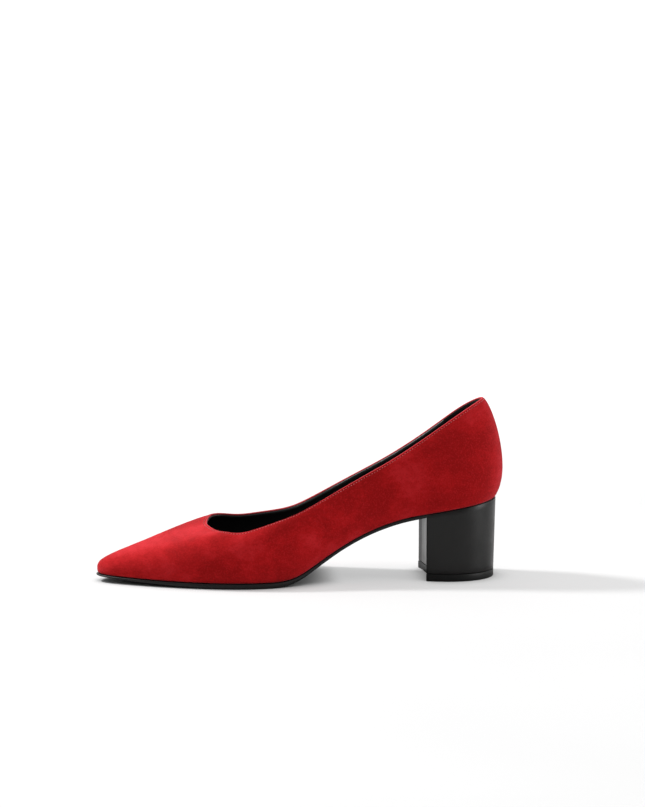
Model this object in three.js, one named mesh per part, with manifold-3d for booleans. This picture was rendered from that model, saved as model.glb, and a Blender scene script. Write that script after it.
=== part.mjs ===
// A right-foot court shoe with a pointed toe, a suede upper and a covered block heel, cement lasted.
// Millimetres, +Z up. The toe points to -X and the inner (medial) side faces -Y. The shoe stands on z = 0.
import * as THREE from "three";
import { mergeVertices, toCreasedNormals } from "three/addons/utils/BufferGeometryUtils.js";
import Module from "manifold-3d";

const wasm = await Module();
wasm.setup();

// Overall sizes. The station tables are drawn for the sample sizes and graded to these.
const shoeLength = 249; // toe tip to the back of the counter
const ballWidth = 75; // across the feather line at the ball
const heelLift = 46; // rise of the sole line from the ball to the back of the seat
const quarterHeight = 62.8; // seat to topline at the back

// Layers, from the outside in.
const upperThickness = 1.1;
const stiffenerThickness = 0.9; // toe puff and heel counter, before skiving
const skivedThickness = 0.3; // their thinned edges
const tapeThickness = 0.3;
const liningThickness = 0.8;
const soleThickness = 3.4; // outsole at the ball
const waistThickness = 1.8; // outsole under the arch and over the heel
const toeThickness = 1.1; // outsole skived at the tip
const boardThickness = 2;
const shankThickness = 0.8;
const cushionThickness = 1.6;
const sockThickness = 0.9;
const coverThickness = 0.9; // leather on the heel block
const topPieceThickness = 4.5;

// Clearances.
const glueGap = 0.2; // between layers cut on the same facets
const seatGap = 0.3; // between pieces faceted differently, and between butted edges
const holeGap = 0.2; // round a nail, pin, screw or rivet, on the radius

// Margins and edges.
const lastingMargin = 12; // upper turned in under the board
const toplineTapeWidth = 6;
const trimSetback = 0.8; // lining and tape trimmed below the topline
const layerFoot = 2.4; // inner layers start this far above the feather line
const stitchSetback = 1.7; // stitch row below the topline
const threadRadius = 0.25;
const soleReach = 0.9; // outsole beyond the feather line at the forepart
const soleBevel = 0.8; // bottom edge of the outsole cut back
const toeSpring = 3.9; // sole tip above the floor

// Heel block.
const heelLength = 45.4;
const heelOverhang = 0.7; // back of the heel behind the feather line
const heelHalfWidth = 25;
const breastHalfWidth = 22.4;
const heelShoulder = 17; // breast to the widest place
const breastHollow = 3; // depth of the concave breast
const backLean = 1; // back edge leans forward over its height
const coverReturn = 6.5; // cover turned on to the breast at each side
const topPieceBevel = 0.4;

// Fasteners.
const nailRadius = 0.9;
const nailLength = 19;
const nailHeadRadius = 1.9;
const screwRadius = 2;
const screwLength = 24;
const screwHeadRadius = 3.6;
const headHeight = 0.8;
const pinRadius = 1.1;
const pinLength = 11;
const pinInPiece = 2.6; // length of a pin held in the top piece
const rivetRadius = 1.4;
const rivetHeadRadius = 2.6;
const rivetHeadHeight = 0.4;
const fastenerSides = 12;

const sample = { length: 249, ball: 75, quarter: 62.8 };
const gradeX = shoeLength / sample.length;
const gradeY = ballWidth / sample.ball;
const gradeZ = quarterHeight / sample.quarter;

// ---------------------------------------------------------------- curves

// Natural cubic spline through [position, value] knots, straight beyond them.
function curveThrough(knots) {
  const n = knots.length;
  const x = knots.map((k) => k[0]);
  const y = knots.map((k) => k[1]);
  const bend = new Array(n).fill(0);
  const share = new Array(n).fill(0);
  for (let i = 1; i < n - 1; i++) {
    const left = x[i] - x[i - 1];
    const right = x[i + 1] - x[i];
    const pivot = 2 * (left + right) - left * share[i - 1];
    const jump = (y[i + 1] - y[i]) / right - (y[i] - y[i - 1]) / left;
    share[i] = right / pivot;
    bend[i] = (6 * jump - left * bend[i - 1]) / pivot;
  }
  for (let i = n - 2; i > 0; i--) bend[i] -= share[i] * bend[i + 1];
  const firstSlope = (y[1] - y[0]) / (x[1] - x[0]) - ((x[1] - x[0]) * bend[1]) / 6;
  const span = x[n - 1] - x[n - 2];
  const lastSlope = (y[n - 1] - y[n - 2]) / span + (span * bend[n - 2]) / 6;
  return (at) => {
    if (at <= x[0]) return y[0] + firstSlope * (at - x[0]);
    if (at >= x[n - 1]) return y[n - 1] + lastSlope * (at - x[n - 1]);
    let i = 1;
    while (x[i] < at) i++;
    const h = x[i] - x[i - 1];
    const a = (x[i] - at) / h;
    const b = 1 - a;
    return a * y[i - 1] + b * y[i] + (((a ** 3 - a) * bend[i - 1] + (b ** 3 - b) * bend[i]) * h * h) / 6;
  };
}

// Smooth curve through evenly numbered stations. It is even (parity 1) or odd (-1) about both ends,
// because the other half of the shoe mirrors it there.
function stationCurve(values, parity) {
  const last = values.length - 1;
  const reach = (list, i) =>
    i < 0 ? parity * list[-i] : i > last ? parity * list[2 * last - i] : list[i];
  let control = values.slice();
  for (let pass = 0; pass < 40; pass++)
    control = values.map((v, i) => (6 * v - reach(control, i - 1) - reach(control, i + 1)) / 4);
  return (at) => {
    const i = Math.min(Math.floor(at), last);
    const f = at - i;
    const weights = [(1 - f) ** 3, 3 * f ** 3 - 6 * f ** 2 + 4, -3 * f ** 3 + 3 * f ** 2 + 3 * f + 1, f ** 3];
    return weights.reduce((sum, w, k) => sum + w * reach(control, i - 1 + k), 0) / 6;
  };
}

const mix = THREE.MathUtils.lerp;
const ramp = (low, high, at) => THREE.MathUtils.smoothstep(at, low, high);

// ---------------------------------------------------------------- the last

// Stations round one half of the shoe, from the toe (0) to the back of the heel (13). A section climbs
// from the feather line to the topline as a cubic curve. feather and top are [x from the toe, half width],
// shoulder is the upper handle in the same terms, and belly is the lower handle, out and up from the
// feather line. The last figures of shoulder and top are heights above the sole line.
const stations = [
  { feather: [0.3, 0], belly: [1.9, 9.8], shoulder: [1.4, 0, 9.7], top: [67, 0, 31.4] },
  { feather: [5.5, 8.4], belly: [2, 9.6], shoulder: [16, 10, 14.4], top: [67.8, 6.5, 31.9] },
  { feather: [20, 16.6], belly: [3, 9.5], shoulder: [37, 18, 22.4], top: [70.2, 13, 32.2] },
  { feather: [40, 25.5], belly: [3, 10.5], shoulder: [58, 25, 29.4], top: [74.3, 20.5, 31.6] },
  { feather: [62, 32.6], belly: [3.4, 11.3], shoulder: [75, 31.5, 30.6], top: [80, 26.5, 31] },
  { feather: [85, 37.5], belly: [4, 11], shoulder: [88.5, 37, 28.1], top: [92, 30.5, 31.1] },
  { feather: [108, 37.2], belly: [4.3, 12], shoulder: [106, 37, 30.6], top: [114, 31, 35.4] },
  { feather: [132, 30.3], belly: [6, 13], shoulder: [130, 33, 32.5], top: [134, 28.5, 34.8] },
  { feather: [158, 24.5], belly: [6, 14], shoulder: [157, 29, 29.3], top: [157, 25.8, 33.9] },
  { feather: [184, 23], belly: [6, 16], shoulder: [182, 27, 31], top: [182, 23.3, 37.6] },
  { feather: [208, 25], belly: [5, 16], shoulder: [205.5, 25.6, 39.6], top: [205, 20.4, 47.7] },
  { feather: [228, 23.5], belly: [6, 16], shoulder: [225.5, 20.6, 49.1], top: [223, 15.6, 57.3] },
  { feather: [240.5, 14.5], belly: [8.5, 16], shoulder: [239, 13, 56.3], top: [233.5, 8.2, 61.8] },
  { feather: [244.9, 0], belly: [12, 16], shoulder: [243, 0, 61], top: [236.5, 0, 62.8] },
];
const lastStation = stations.length - 1;

// Sole line: height of the feather line above the floor, along the shoe.
const forepart = curveThrough([[0, toeSpring + toeThickness], [18, soleThickness + 1],
  [40, soleThickness + 0.5], [65, soleThickness + 0.1], [85, soleThickness], [110, soleThickness],
  [140, soleThickness]]);
const climb = curveThrough([[85, 0], [97, 0], [108, 0.001], [115, 0.015], [122, 0.06], [130, 0.155],
  [145, 0.36], [160, 0.54], [175, 0.68], [190, 0.78], [200, 0.826], [215, 0.884], [230, 0.942], [245, 1]]);
const climbStart = 97;
function soleLine(x) {
  const at = x / gradeX;
  return forepart(at) + (at < climbStart ? 0 : heelLift * Math.max(0, climb(at)));
}
// Vertical measure of a thickness laid square on the sloping sole line.
function stacked(x, thickness) {
  const step = 0.5;
  return thickness * Math.hypot(1, (soleLine(x + step) - soleLine(x - step)) / (2 * step));
}

// Centre line: the last swings inwards at the toe and outwards at the waist.
const swingCurve = curveThrough([[0, -6.5], [40, -4.8], [90, -2.2], [125, 0.8], [160, 2], [205, 0.6],
  [249, 0]]);
const swing = (x) => swingCurve(x / gradeX) * gradeY;

// The topline stands higher on the inner side of the waist and lower beside the throat.
const toplineTilt = curveThrough([[0, 0], [1, -1], [2, -2], [3, -2], [4, -1.3], [5, -0.4], [6, 1.8], [7, 2.4],
  [9, 2.4], [10, 2.1], [11, 1], [12, 0.3], [13, 0]]);

const figures = (key, i, parity, scale) =>
  stationCurve(stations.map((s) => s[key][i] * scale), parity);
const guide = {
  featherX: figures("feather", 0, 1, gradeX),
  featherW: figures("feather", 1, -1, gradeY),
  bellyOut: figures("belly", 0, 1, 1),
  bellyUp: figures("belly", 1, 1, gradeZ),
  shoulderX: figures("shoulder", 0, 1, gradeX),
  shoulderW: figures("shoulder", 1, -1, gradeY),
  shoulderUp: figures("shoulder", 2, 1, gradeZ),
  topX: figures("top", 0, 1, gradeX),
  topW: figures("top", 1, -1, gradeY),
  topUp: figures("top", 2, 1, gradeZ),
};

// ---------------------------------------------------------------- the facets of the wall

// Columns run round the shoe: 0 at the toe, along the inner side to the heel, and back along the outer side.
const halfColumns = 2 * lastStation;
const columns = 2 * halfColumns;
const rows = 12;
const heelColumn = halfColumns;

function place(column) {
  const c = ((column % columns) + columns) % columns;
  const side = c <= halfColumns ? -1 : 1;
  return { side, at: (lastStation * (side < 0 ? c : columns - c)) / halfColumns };
}

function featherPoint(column) {
  const { side, at } = place(column);
  const x = guide.featherX(at);
  return new THREE.Vector3(x, swing(x) + side * guide.featherW(at), soleLine(x));
}

// Direction out of the feather line, in plan.
function featherOut(column) {
  const step = 0.02;
  const along = featherPoint(column + step).sub(featherPoint(column - step));
  return new THREE.Vector3(along.y, -along.x, 0).normalize();
}

function sectionCurve(column) {
  const { side, at } = place(column);
  const foot = featherPoint(column);
  const belly = foot.clone().addScaledVector(featherOut(column), guide.bellyOut(at));
  belly.z += guide.bellyUp(at);
  const tilt = -side * toplineTilt(at) * gradeZ;
  const rest = [["shoulderX", "shoulderW", "shoulderUp"], ["topX", "topW", "topUp"]].map(([kx, kw, kz]) => {
    const x = guide[kx](at);
    return new THREE.Vector3(x, swing(x) + side * guide[kw](at), soleLine(x) + guide[kz](at) + tilt);
  });
  return new THREE.CubicBezierCurve3(foot, belly, ...rest);
}

// Row 0 is the feather line and the last row is the topline. Beside them lie the rows where the inner layers
// start and stop: one just above the turned-in margin, one a trim below the topline and one at the foot of
// the topline tape. The rows between are spaced half by the curve's own measure and half by length, so the
// toe keeps its bend.
const footRow = 1;
const tapeRow = rows - 2;
const trimRow = rows - 1;
function rowMeasure(curve, row) {
  const length = curve.getLength();
  const above = (distance) => curve.getUtoTmapping(distance / length);
  const below = (distance) => above(length - distance);
  if (row === 0) return 0;
  if (row === rows) return 1;
  if (row === trimRow) return below(trimSetback);
  const share = (row - footRow) / (tapeRow - footRow);
  const even = above(mix(layerFoot, length - trimSetback - toplineTapeWidth, share));
  return mix(mix(above(layerFoot), below(trimSetback + toplineTapeWidth), share), even, 0.5);
}

const wall = Array.from({ length: columns }, (_, column) => {
  const curve = sectionCurve(column);
  const step = 0.05;
  const before = sectionCurve(column - step);
  const after = sectionCurve(column + step);
  return Array.from({ length: rows + 1 }, (_, row) => {
    const t = rowMeasure(curve, row);
    const up = curve.getTangent(t);
    const along = after.getPoint(t).sub(before.getPoint(t));
    return { point: curve.getPoint(t), normal: along.cross(up).normalize() };
  });
});
const outwardAt = wall[heelColumn / 2][1].normal.y < 0 ? 1 : -1;
wall.forEach((column) => column.forEach((node) => node.normal.multiplyScalar(outwardAt)));

// Point on the wall at a fractional column and row, sunk by depth(column, row) under the outside.
function wallPoint(column, row, depth) {
  const c0 = Math.floor(column);
  const r0 = Math.min(Math.floor(row), rows - 1);
  const sunk = (c, r) => {
    const node = wall[((c % columns) + columns) % columns][r];
    return node.point.clone().addScaledVector(node.normal, -depth(c, r));
  };
  const low = sunk(c0, r0).lerp(sunk(c0 + 1, r0), column - c0);
  const high = sunk(c0, r0 + 1).lerp(sunk(c0 + 1, r0 + 1), column - c0);
  return low.lerp(high, row - r0);
}

// Row that lies a distance below the topline, within the tape's width.
const bandRow = (distance) => trimRow - (distance - trimSetback) / toplineTapeWidth;

// Point of the bottom layers: in from the feather line by inset, and above the sole line by rise. The first
// few millimetres are measured square to the line, and the rest towards the middle of the foot.
const toeFan = 20 * gradeX;
const heelFan = 18 * gradeX;
const squareInset = 4.5;
function footPoint(column, inset, rise) {
  const square = Math.min(inset, squareInset);
  const point = featherPoint(column).addScaledVector(featherOut(column), -square);
  const x = THREE.MathUtils.clamp(point.x, guide.featherX(0) + toeFan, guide.featherX(lastStation) - heelFan);
  const inwards = new THREE.Vector3(x, swing(x), point.z).sub(point);
  point.addScaledVector(inwards, Math.min((inset - square) / inwards.length(), 0.8));
  point.z = soleLine(point.x) + stacked(point.x, rise);
  return point;
}

// ---------------------------------------------------------------- building solids

// Solid swept through a list of equal loops. Loops are mirrored about their middle, so the facets of the
// inner half lie parallel to those of the outer half and the ends close by pairing first with last.
function loft(loops, { closed = false, capped = !closed } = {}) {
  const size = loops[0].length;
  const positions = loops.flat().flatMap((p) => [p.x, p.y, p.z]);
  const index = [];
  const steps = closed ? loops.length : loops.length - 1;
  for (let i = 0; i < steps; i++)
    for (let k = 0; k < size; k++) {
      const a = i * size + k;
      const b = i * size + ((k + 1) % size);
      const c = ((i + 1) % loops.length) * size + ((k + 1) % size);
      const d = ((i + 1) % loops.length) * size + k;
      if (k < size / 2) index.push(a, b, c, a, c, d);
      else index.push(a, b, d, b, c, d);
    }
  const cap = (start, turn) => {
    for (let k = 0; k < size / 2 - 1; k++) {
      const quad = [k, k + 1, size - 2 - k, size - 1 - k].map((v) => start + v);
      const [a, b, c, d] = turn ? quad : quad.reverse();
      index.push(a, b, c, a, c, d);
    }
  };
  if (capped) {
    cap(0, false);
    cap((loops.length - 1) * size, true);
  }
  return closedGeometry(positions, index);
}

// Joins shared vertices, drops collapsed triangles and turns the faces outwards.
function closedGeometry(positions, index) {
  const raw = new THREE.BufferGeometry();
  raw.setAttribute("position", new THREE.Float32BufferAttribute(positions, 3));
  raw.setIndex(index);
  const merged = mergeVertices(raw, 1e-3);
  const p = merged.attributes.position;
  const kept = [];
  const a = new THREE.Vector3();
  const b = new THREE.Vector3();
  const c = new THREE.Vector3();
  let volume = 0;
  for (let i = 0; i < merged.index.count; i += 3) {
    const [u, v, w] = [0, 1, 2].map((k) => merged.index.getX(i + k));
    if (u === v || v === w || w === u) continue;
    kept.push([u, v, w]);
    volume += a.fromBufferAttribute(p, u).dot(b.fromBufferAttribute(p, v).cross(c.fromBufferAttribute(p, w)));
  }
  merged.setIndex((volume < 0 ? kept.map((t) => t.reverse()) : kept).flat());
  return merged;
}

// Solid stacked from outlines of [x, y, z] points with equal counts, lowest first, flat at both ends.
function stack(outlines) {
  const count = outlines[0].length;
  const index = [];
  for (let level = 0; level < outlines.length - 1; level++)
    for (let i = 0; i < count; i++) {
      const a = level * count + i;
      const b = level * count + ((i + 1) % count);
      index.push(a, b, b + count, a, b + count, a + count);
    }
  const flat = (outline) => outline.map(([x, y]) => new THREE.Vector2(x, y));
  const top = (outlines.length - 1) * count;
  THREE.ShapeUtils.triangulateShape(flat(outlines[0]), []).forEach(([a, b, c]) => index.push(c, b, a));
  THREE.ShapeUtils.triangulateShape(flat(outlines.at(-1)), [])
    .forEach(([a, b, c]) => index.push(top + a, top + b, top + c));
  return closedGeometry(outlines.flat(2), index);
}

// Turned piece from a profile of [radius, height] pairs that starts and ends on the axis.
function turned(profile) {
  const lathe = new THREE.LatheGeometry(profile.map(([r, z]) => new THREE.Vector2(r, z)), fastenerSides);
  lathe.rotateX(Math.PI / 2);
  return closedGeometry(Array.from(lathe.attributes.position.array), Array.from(lathe.index.array));
}
const shaft = (radius, low, high) => turned([[0, low], [radius, low], [radius, high], [0, high]]);

function toManifold(geometry) {
  const bare = geometry.clone();
  bare.deleteAttribute("normal");
  bare.deleteAttribute("uv");
  const merged = mergeVertices(bare, 1e-4);
  return new wasm.Manifold(new wasm.Mesh({
    numProp: 3,
    vertProperties: new Float32Array(merged.attributes.position.array),
    triVerts: new Uint32Array(merged.index.array),
  }));
}

function drilled(geometry, cutters) {
  const result = cutters.reduce((solid, cutter) => solid.subtract(toManifold(cutter)), toManifold(geometry));
  const mesh = result.getMesh();
  return closedGeometry(Array.from(mesh.vertProperties), Array.from(mesh.triVerts));
}

const shoe = new THREE.Group();
shoe.name = "high_heel_pump";
const finish = (color, roughness, metalness = 0) => ({ color, roughness, metalness });
const suede = finish(0xb31c26, 0.95);
const blackLeather = finish(0x1c1b1a, 0.5);
const steel = finish(0x9a9c9e, 0.35, 1);
function add(name, geometry, look) {
  const mesh = new THREE.Mesh(toCreasedNormals(geometry, Math.PI / 5), new THREE.MeshStandardMaterial(look));
  mesh.name = name;
  shoe.add(mesh);
}

// ---------------------------------------------------------------- layers of the wall

// Strength of a stiffener over the wall: 1 in its middle, falling to 0 where it is skived away.
const along = (column) => place(column).at;
const puffZone = (c, r) => (1 - ramp(2.9, 4.1, along(c))) * (1 - ramp(7.2, 9, r));
const counterZone = (c, r) => ramp(8.9, 10.1, along(c)) * (1 - ramp(8, 9.4, r));
const puffSkin = (c, r) => mix(skivedThickness, stiffenerThickness, puffZone(c, r));
const counterSkin = (c, r) => mix(skivedThickness, stiffenerThickness, counterZone(c, r));
const outside = () => 0;
const insideUpper = () => upperThickness;
const layerStart = () => upperThickness + glueGap;
const liningStart = (c, r) =>
  layerStart() + Math.max(puffSkin(c, r), counterSkin(c, r), tapeThickness) + glueGap;
const liningEnd = (c, r) => liningStart(c, r) + liningThickness;

// A layer of the wall between two rows and two columns, from one depth to another.
const buttGap = 0.015; // share of a column left between butted pieces
function layer(from, to, lowRow, highRow, outer, inner) {
  const levels = Array.from({ length: highRow - lowRow + 1 }, (_, i) => lowRow + i);
  const first = Math.ceil(from);
  const last = Math.floor(to);
  const whole = Array.from({ length: last - first + 1 }, (_, i) => first + i)
    .filter((c) => c > from && c < to);
  const closed = to - from === columns;
  const stations = closed ? Array.from({ length: columns }, (_, i) => i) : [from, ...whole, to];
  return loft(stations.map((column) => [
    ...levels.slice().reverse().map((row) => wallPoint(column, row, outer)),
    ...levels.map((row) => wallPoint(column, row, inner)),
  ]), { closed });
}

// The upper: the outside of the wall, turned in round the feather line to a flat margin, and back up inside.
function upperShell() {
  return loft(Array.from({ length: columns }, (_, column) => {
    const wallRows = Array.from({ length: rows + 1 }, (_, r) => r);
    const margin = [lastingMargin / 3, lastingMargin];
    const inner = wallRows.map((row) => wallPoint(column, row, insideUpper));
    const marginTop = featherPoint(column).z + stacked(featherPoint(column).x, upperThickness);
    inner[0].lerp(inner[1], (marginTop - inner[0].z) / (inner[1].z - inner[0].z));
    return [
      ...wallRows.slice().reverse().map((row) => wallPoint(column, row, outside)),
      ...margin.map((inset) => footPoint(column, inset, 0)),
      ...margin.reverse().map((inset) => footPoint(column, inset, upperThickness)),
      ...inner,
    ];
  }), { closed: true });
}
add("suede_upper", upperShell(), suede);

// Stiffeners between the upper and the lining.
const puffColumn = 8;
const counterColumn = heelColumn - 8;
const stiffenerTop = 9;
const stiffenerFinish = finish(0xd9d2c0, 0.8);
const afterStart = (skin) => (c, r) => layerStart() + skin(c, r);
add("toe_puff", layer(-puffColumn, puffColumn, footRow, stiffenerTop, layerStart, afterStart(puffSkin)),
  stiffenerFinish);
add("heel_counter", layer(counterColumn, columns - counterColumn, footRow, stiffenerTop, layerStart,
  afterStart(counterSkin)), stiffenerFinish);

// Cloth side liners between the two stiffeners, and the tape that keeps the topline from stretching.
const cloth = finish(0xe8e4da, 0.95);
const sideLiner = (from, to) => layer(from + buttGap, to - buttGap, footRow, stiffenerTop, layerStart,
  () => layerStart() + tapeThickness);
add("side_liner_medial", sideLiner(puffColumn, counterColumn), cloth);
add("side_liner_lateral", sideLiner(columns - counterColumn, columns - puffColumn), cloth);
add("topline_tape", layer(0, columns, tapeRow, trimRow, layerStart,
  () => layerStart() + tapeThickness), cloth);

// Linings, butted end to end round the shoe.
const quarterColumn = 13;
const gripColumn = heelColumn - 5;
const liningPiece = (from, to) =>
  layer(from + buttGap, to - buttGap, footRow, trimRow, liningStart, liningEnd);
add("vamp_lining", liningPiece(-quarterColumn, quarterColumn), blackLeather);
add("quarter_lining_medial", liningPiece(quarterColumn, gripColumn), blackLeather);
add("quarter_lining_lateral", liningPiece(columns - gripColumn, columns - quarterColumn), blackLeather);
add("heel_grip", liningPiece(gripColumn, columns - gripColumn), finish(0x201d1c, 0.9));

// Stitch row below the topline, as one thread laid on the upper.
function toplineThread() {
  const sides = 6;
  const lift = () => -(threadRadius + glueGap);
  const spot = (column) => wallPoint(column, bandRow(stitchSetback), lift);
  return loft(Array.from({ length: columns }, (_, column) => {
    const centre = spot(column);
    const run = spot(column + 1).sub(spot(column - 1)).normalize();
    const out = centre.clone().sub(wallPoint(column, bandRow(stitchSetback), outside)).normalize();
    const up = run.clone().cross(out).normalize();
    return Array.from({ length: sides }, (_, k) => {
      const turn = (2 * Math.PI * k) / sides;
      return centre.clone().addScaledVector(out, threadRadius * Math.sin(turn))
        .addScaledVector(up, threadRadius * Math.cos(turn));
    });
  }), { closed: true });
}
add("topline_stitching", toplineThread(), finish(0x9c2028, 0.7));

// ---------------------------------------------------------------- the bottom

// Slab across the foot between two columns of the inner side. low and high take [column, x] and give the
// rise above the sole line; edge gives the inset at the top and at the bottom.
function footSlab(from, to, edge, low, high) {
  return loft(Array.from({ length: to - from + 1 }, (_, i) => {
    const column = from + i;
    const across = (side, inset, rise) => footPoint(side * column, inset(column), rise(column));
    return [
      across(1, edge.top, high), across(-1, edge.top, high),
      across(-1, edge.bottom, low), across(1, edge.bottom, low),
    ];
  }));
}
const plumb = (inset) => ({ top: () => inset, bottom: () => inset });

const liningInside = upperThickness + stiffenerThickness + liningThickness + 2 * glueGap;
const boardInset = liningInside + seatGap;
const boardBottom = upperThickness + seatGap;
const boardTop = boardBottom + boardThickness;
const ballColumns = [7, 12];
const seatColumn = 20;

// The sock rises over the two cushions.
const ballRise = (column) => THREE.MathUtils.clamp((column - ballColumns[0] + 1) / 2, 0, 1) *
  THREE.MathUtils.clamp((ballColumns[1] + 1 - column) / 2, 0, 1);
const seatRise = (column) => THREE.MathUtils.clamp((column - seatColumn + 1) / 2, 0, 1);
const cushionRise = (column) => Math.max(ballRise(column), seatRise(column));
const cushionLow = () => boardTop + seatGap;
const cushionHigh = (column) => cushionLow() + cushionThickness * cushionRise(column);
const sockLow = (column) => cushionLow() + (cushionThickness + seatGap) * cushionRise(column);
const sockHigh = (column) => sockLow(column) + sockThickness;
const cushionInset = boardInset + 1.5; // skived edge inside the sock's

const foam = finish(0xe9d98c, 0.9);
add("ball_cushion", footSlab(...ballColumns, plumb(cushionInset), cushionLow, cushionHigh), foam);
add("heel_cushion", footSlab(seatColumn, heelColumn, plumb(cushionInset), cushionLow, cushionHigh), foam);
// Its edge keeps clear of the inside of the lining at its own height.
function sockEdge(column) {
  const foot = featherPoint(column);
  const out = featherOut(column);
  const quarterStep = 0.25;
  let inset = 0;
  for (let row = footRow; row < tapeRow; row += quarterStep) {
    const inside = wallPoint(column, row, liningEnd);
    const rise = (inside.z - soleLine(inside.x)) / stacked(inside.x, 1);
    const beside = rise > sockLow(column) - seatGap && rise < sockHigh(column) + seatGap;
    if (beside) inset = Math.max(inset, foot.clone().sub(inside).dot(out));
  }
  return inset + 2 * seatGap;
}
const sockOutline = { top: sockEdge, bottom: sockEdge };
add("sock_lining", footSlab(0, heelColumn, sockOutline, sockLow, sockHigh), blackLeather);

const fillerEnd = 13;
add("forefoot_filler", footSlab(0, fillerEnd, plumb(lastingMargin + 1), () => 0, () => upperThickness),
  finish(0xa87a4f, 0.95));

// Heel layout. The block stands under the seat, with its back just behind the feather line.
const blockLength = heelLength * gradeX;
const blockHalf = heelHalfWidth * gradeY;
const breastHalf = breastHalfWidth * gradeY;
const shoulder = heelShoulder * gradeX;
const breastX = guide.featherX(lastStation) + heelOverhang - blockLength;
const heelY = swing(breastX + shoulder);
const heelSpot = (forward, aside) => [breastX + forward * gradeX, heelY + aside * gradeY];

// Nails stand on an oval inside the turned-in margin.
const nailInset = lastingMargin + nailHeadRadius + 2 * seatGap;
const nailSpots = [-140, 140, -40, 40].map((degrees) => {
  const turn = THREE.MathUtils.degToRad(degrees);
  return [breastX + shoulder + (blockLength - shoulder - nailInset) * Math.cos(turn),
    heelY + (blockHalf - nailInset) * Math.sin(turn)];
});
const pinSpots = [heelSpot(10, -13), heelSpot(10, 13), heelSpot(29, -11), heelSpot(29, 11)];
const screwSpot = heelSpot(19, 0);
const rivetSpots = { front: [138 * gradeX], rear: [209 * gradeX] };
Object.values(rivetSpots).forEach((spot) => spot.push(swing(spot[0])));

// A fastener's solid and the hole it needs, stood at a spot with its head just under the top of the board.
// A plumb head is sunk deeper than a square one, because the board slopes across it.
const headSink = 0.1;
const slopeSink = 0.2; // more for a plumb head, as a share of its radius
const headRoom = 3; // height of the hole above the board
function headed(radius, length, headRadius, headDepth, [x, y], square) {
  const put = (geometry) => {
    if (square) geometry.rotateY(-Math.atan((soleLine(x + 1) - soleLine(x - 1)) / 2));
    return geometry.translate(x, y, soleLine(x) + stacked(x, boardTop));
  };
  const top = -headSink - (square ? 0 : headRadius * slopeSink);
  const neck = top - headDepth;
  return {
    solid: put(turned([[0, top - length], [radius, top - length + radius], [radius, neck], [headRadius, neck],
      [headRadius, top], [0, top]])),
    hole: [put(shaft(radius + holeGap, top - length - holeGap, headRoom)),
      put(shaft(headRadius + holeGap, neck - holeGap, headRoom))],
  };
}
const nails = nailSpots.map((spot) =>
  headed(nailRadius, nailLength, nailHeadRadius, headHeight, spot, false));
const screw = headed(screwRadius, screwLength, screwHeadRadius, headHeight, screwSpot, false);
const rivetLength = boardThickness + seatGap + shankThickness - headSink;
const rivets = Object.values(rivetSpots).map((spot) =>
  headed(rivetRadius, rivetLength, rivetHeadRadius, rivetHeadHeight, spot, true));
const heelHoles = [...nails, screw].flatMap((piece) => piece.hole);
const rivetHoles = rivets.flatMap((piece) => piece.hole);

const board = footSlab(0, heelColumn, plumb(boardInset), () => boardBottom, () => boardTop);
add("insole_board", drilled(board, [...heelHoles, ...rivetHoles]), finish(0xb08a5c, 0.9));

// Sprung steel shank under the board, from behind the ball to the middle of the seat.
const shankHalf = Math.abs(nailSpots[0][1] - heelY) - nailRadius - holeGap - seatGap;
const shankFrom = 128 * gradeX;
const shankTo = guide.featherX(lastStation) - lastingMargin - 2; // clear of the margin's inner edge
const shankTaper = 0.45; // its ends are narrower by this share
const shankSteps = 22;
const shankLow = upperThickness - shankThickness;
function shankBar() {
  return loft(Array.from({ length: shankSteps + 1 }, (_, i) => {
    const share = i / shankSteps;
    const x = mix(shankFrom, shankTo, share);
    const half = shankHalf * (1 - shankTaper * Math.abs(2 * share - 1) ** 8);
    const at = (side, rise) => new THREE.Vector3(x, swing(x) + side * half, soleLine(x) + stacked(x, rise));
    const top = shankLow + shankThickness;
    return [at(-1, top), at(1, top), at(1, shankLow), at(-1, shankLow)];
  }));
}
add("steel_shank", drilled(shankBar(), [...screw.hole, ...rivetHoles]), steel);
add("shank_rivet_front", rivets[0].solid, steel);
add("shank_rivet_rear", rivets[1].solid, steel);

// Outsole from the tip to the back of the heel seat. Its tread under the ball is flat on the floor.
const soleDepth = curveThrough([[0, toeThickness], [20, toeThickness + 0.5], [45, soleThickness - 1],
  [65, soleThickness - 0.1], [105, soleThickness], [120, 2.6], [140, waistThickness], [170, waistThickness],
  [250, waistThickness]]);
function outsole() {
  const reach = (column) => soleReach * (1 - ramp(100, 135, featherPoint(column).x / gradeX));
  const loops = Array.from({ length: heelColumn + 1 }, (_, column) => {
    const across = (side, inset, rise) => footPoint(side * column, inset, rise);
    const depth = soleDepth(featherPoint(column).x / gradeX);
    const edge = -reach(column);
    const bevel = Math.min(soleBevel, depth / 3) * (reach(column) / soleReach);
    const under = [across(-1, edge + bevel, -seatGap - depth), across(1, edge + bevel, -seatGap - depth)];
    under.forEach((point) => { point.z = Math.max(point.z, 0); });
    return [across(1, edge, -seatGap), across(-1, edge, -seatGap), ...under];
  });
  return loft(loops);
}
add("outsole", drilled(outsole(), heelHoles), finish(0x2a2a29, 0.55));

// ---------------------------------------------------------------- the heel

const heelTop = (x) => soleLine(x) - stacked(x, 2 * seatGap + waistThickness);
const heelFoot = topPieceThickness + seatGap;
const returnHalf = breastHalf - coverReturn;
const breastSteps = 8;

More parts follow.
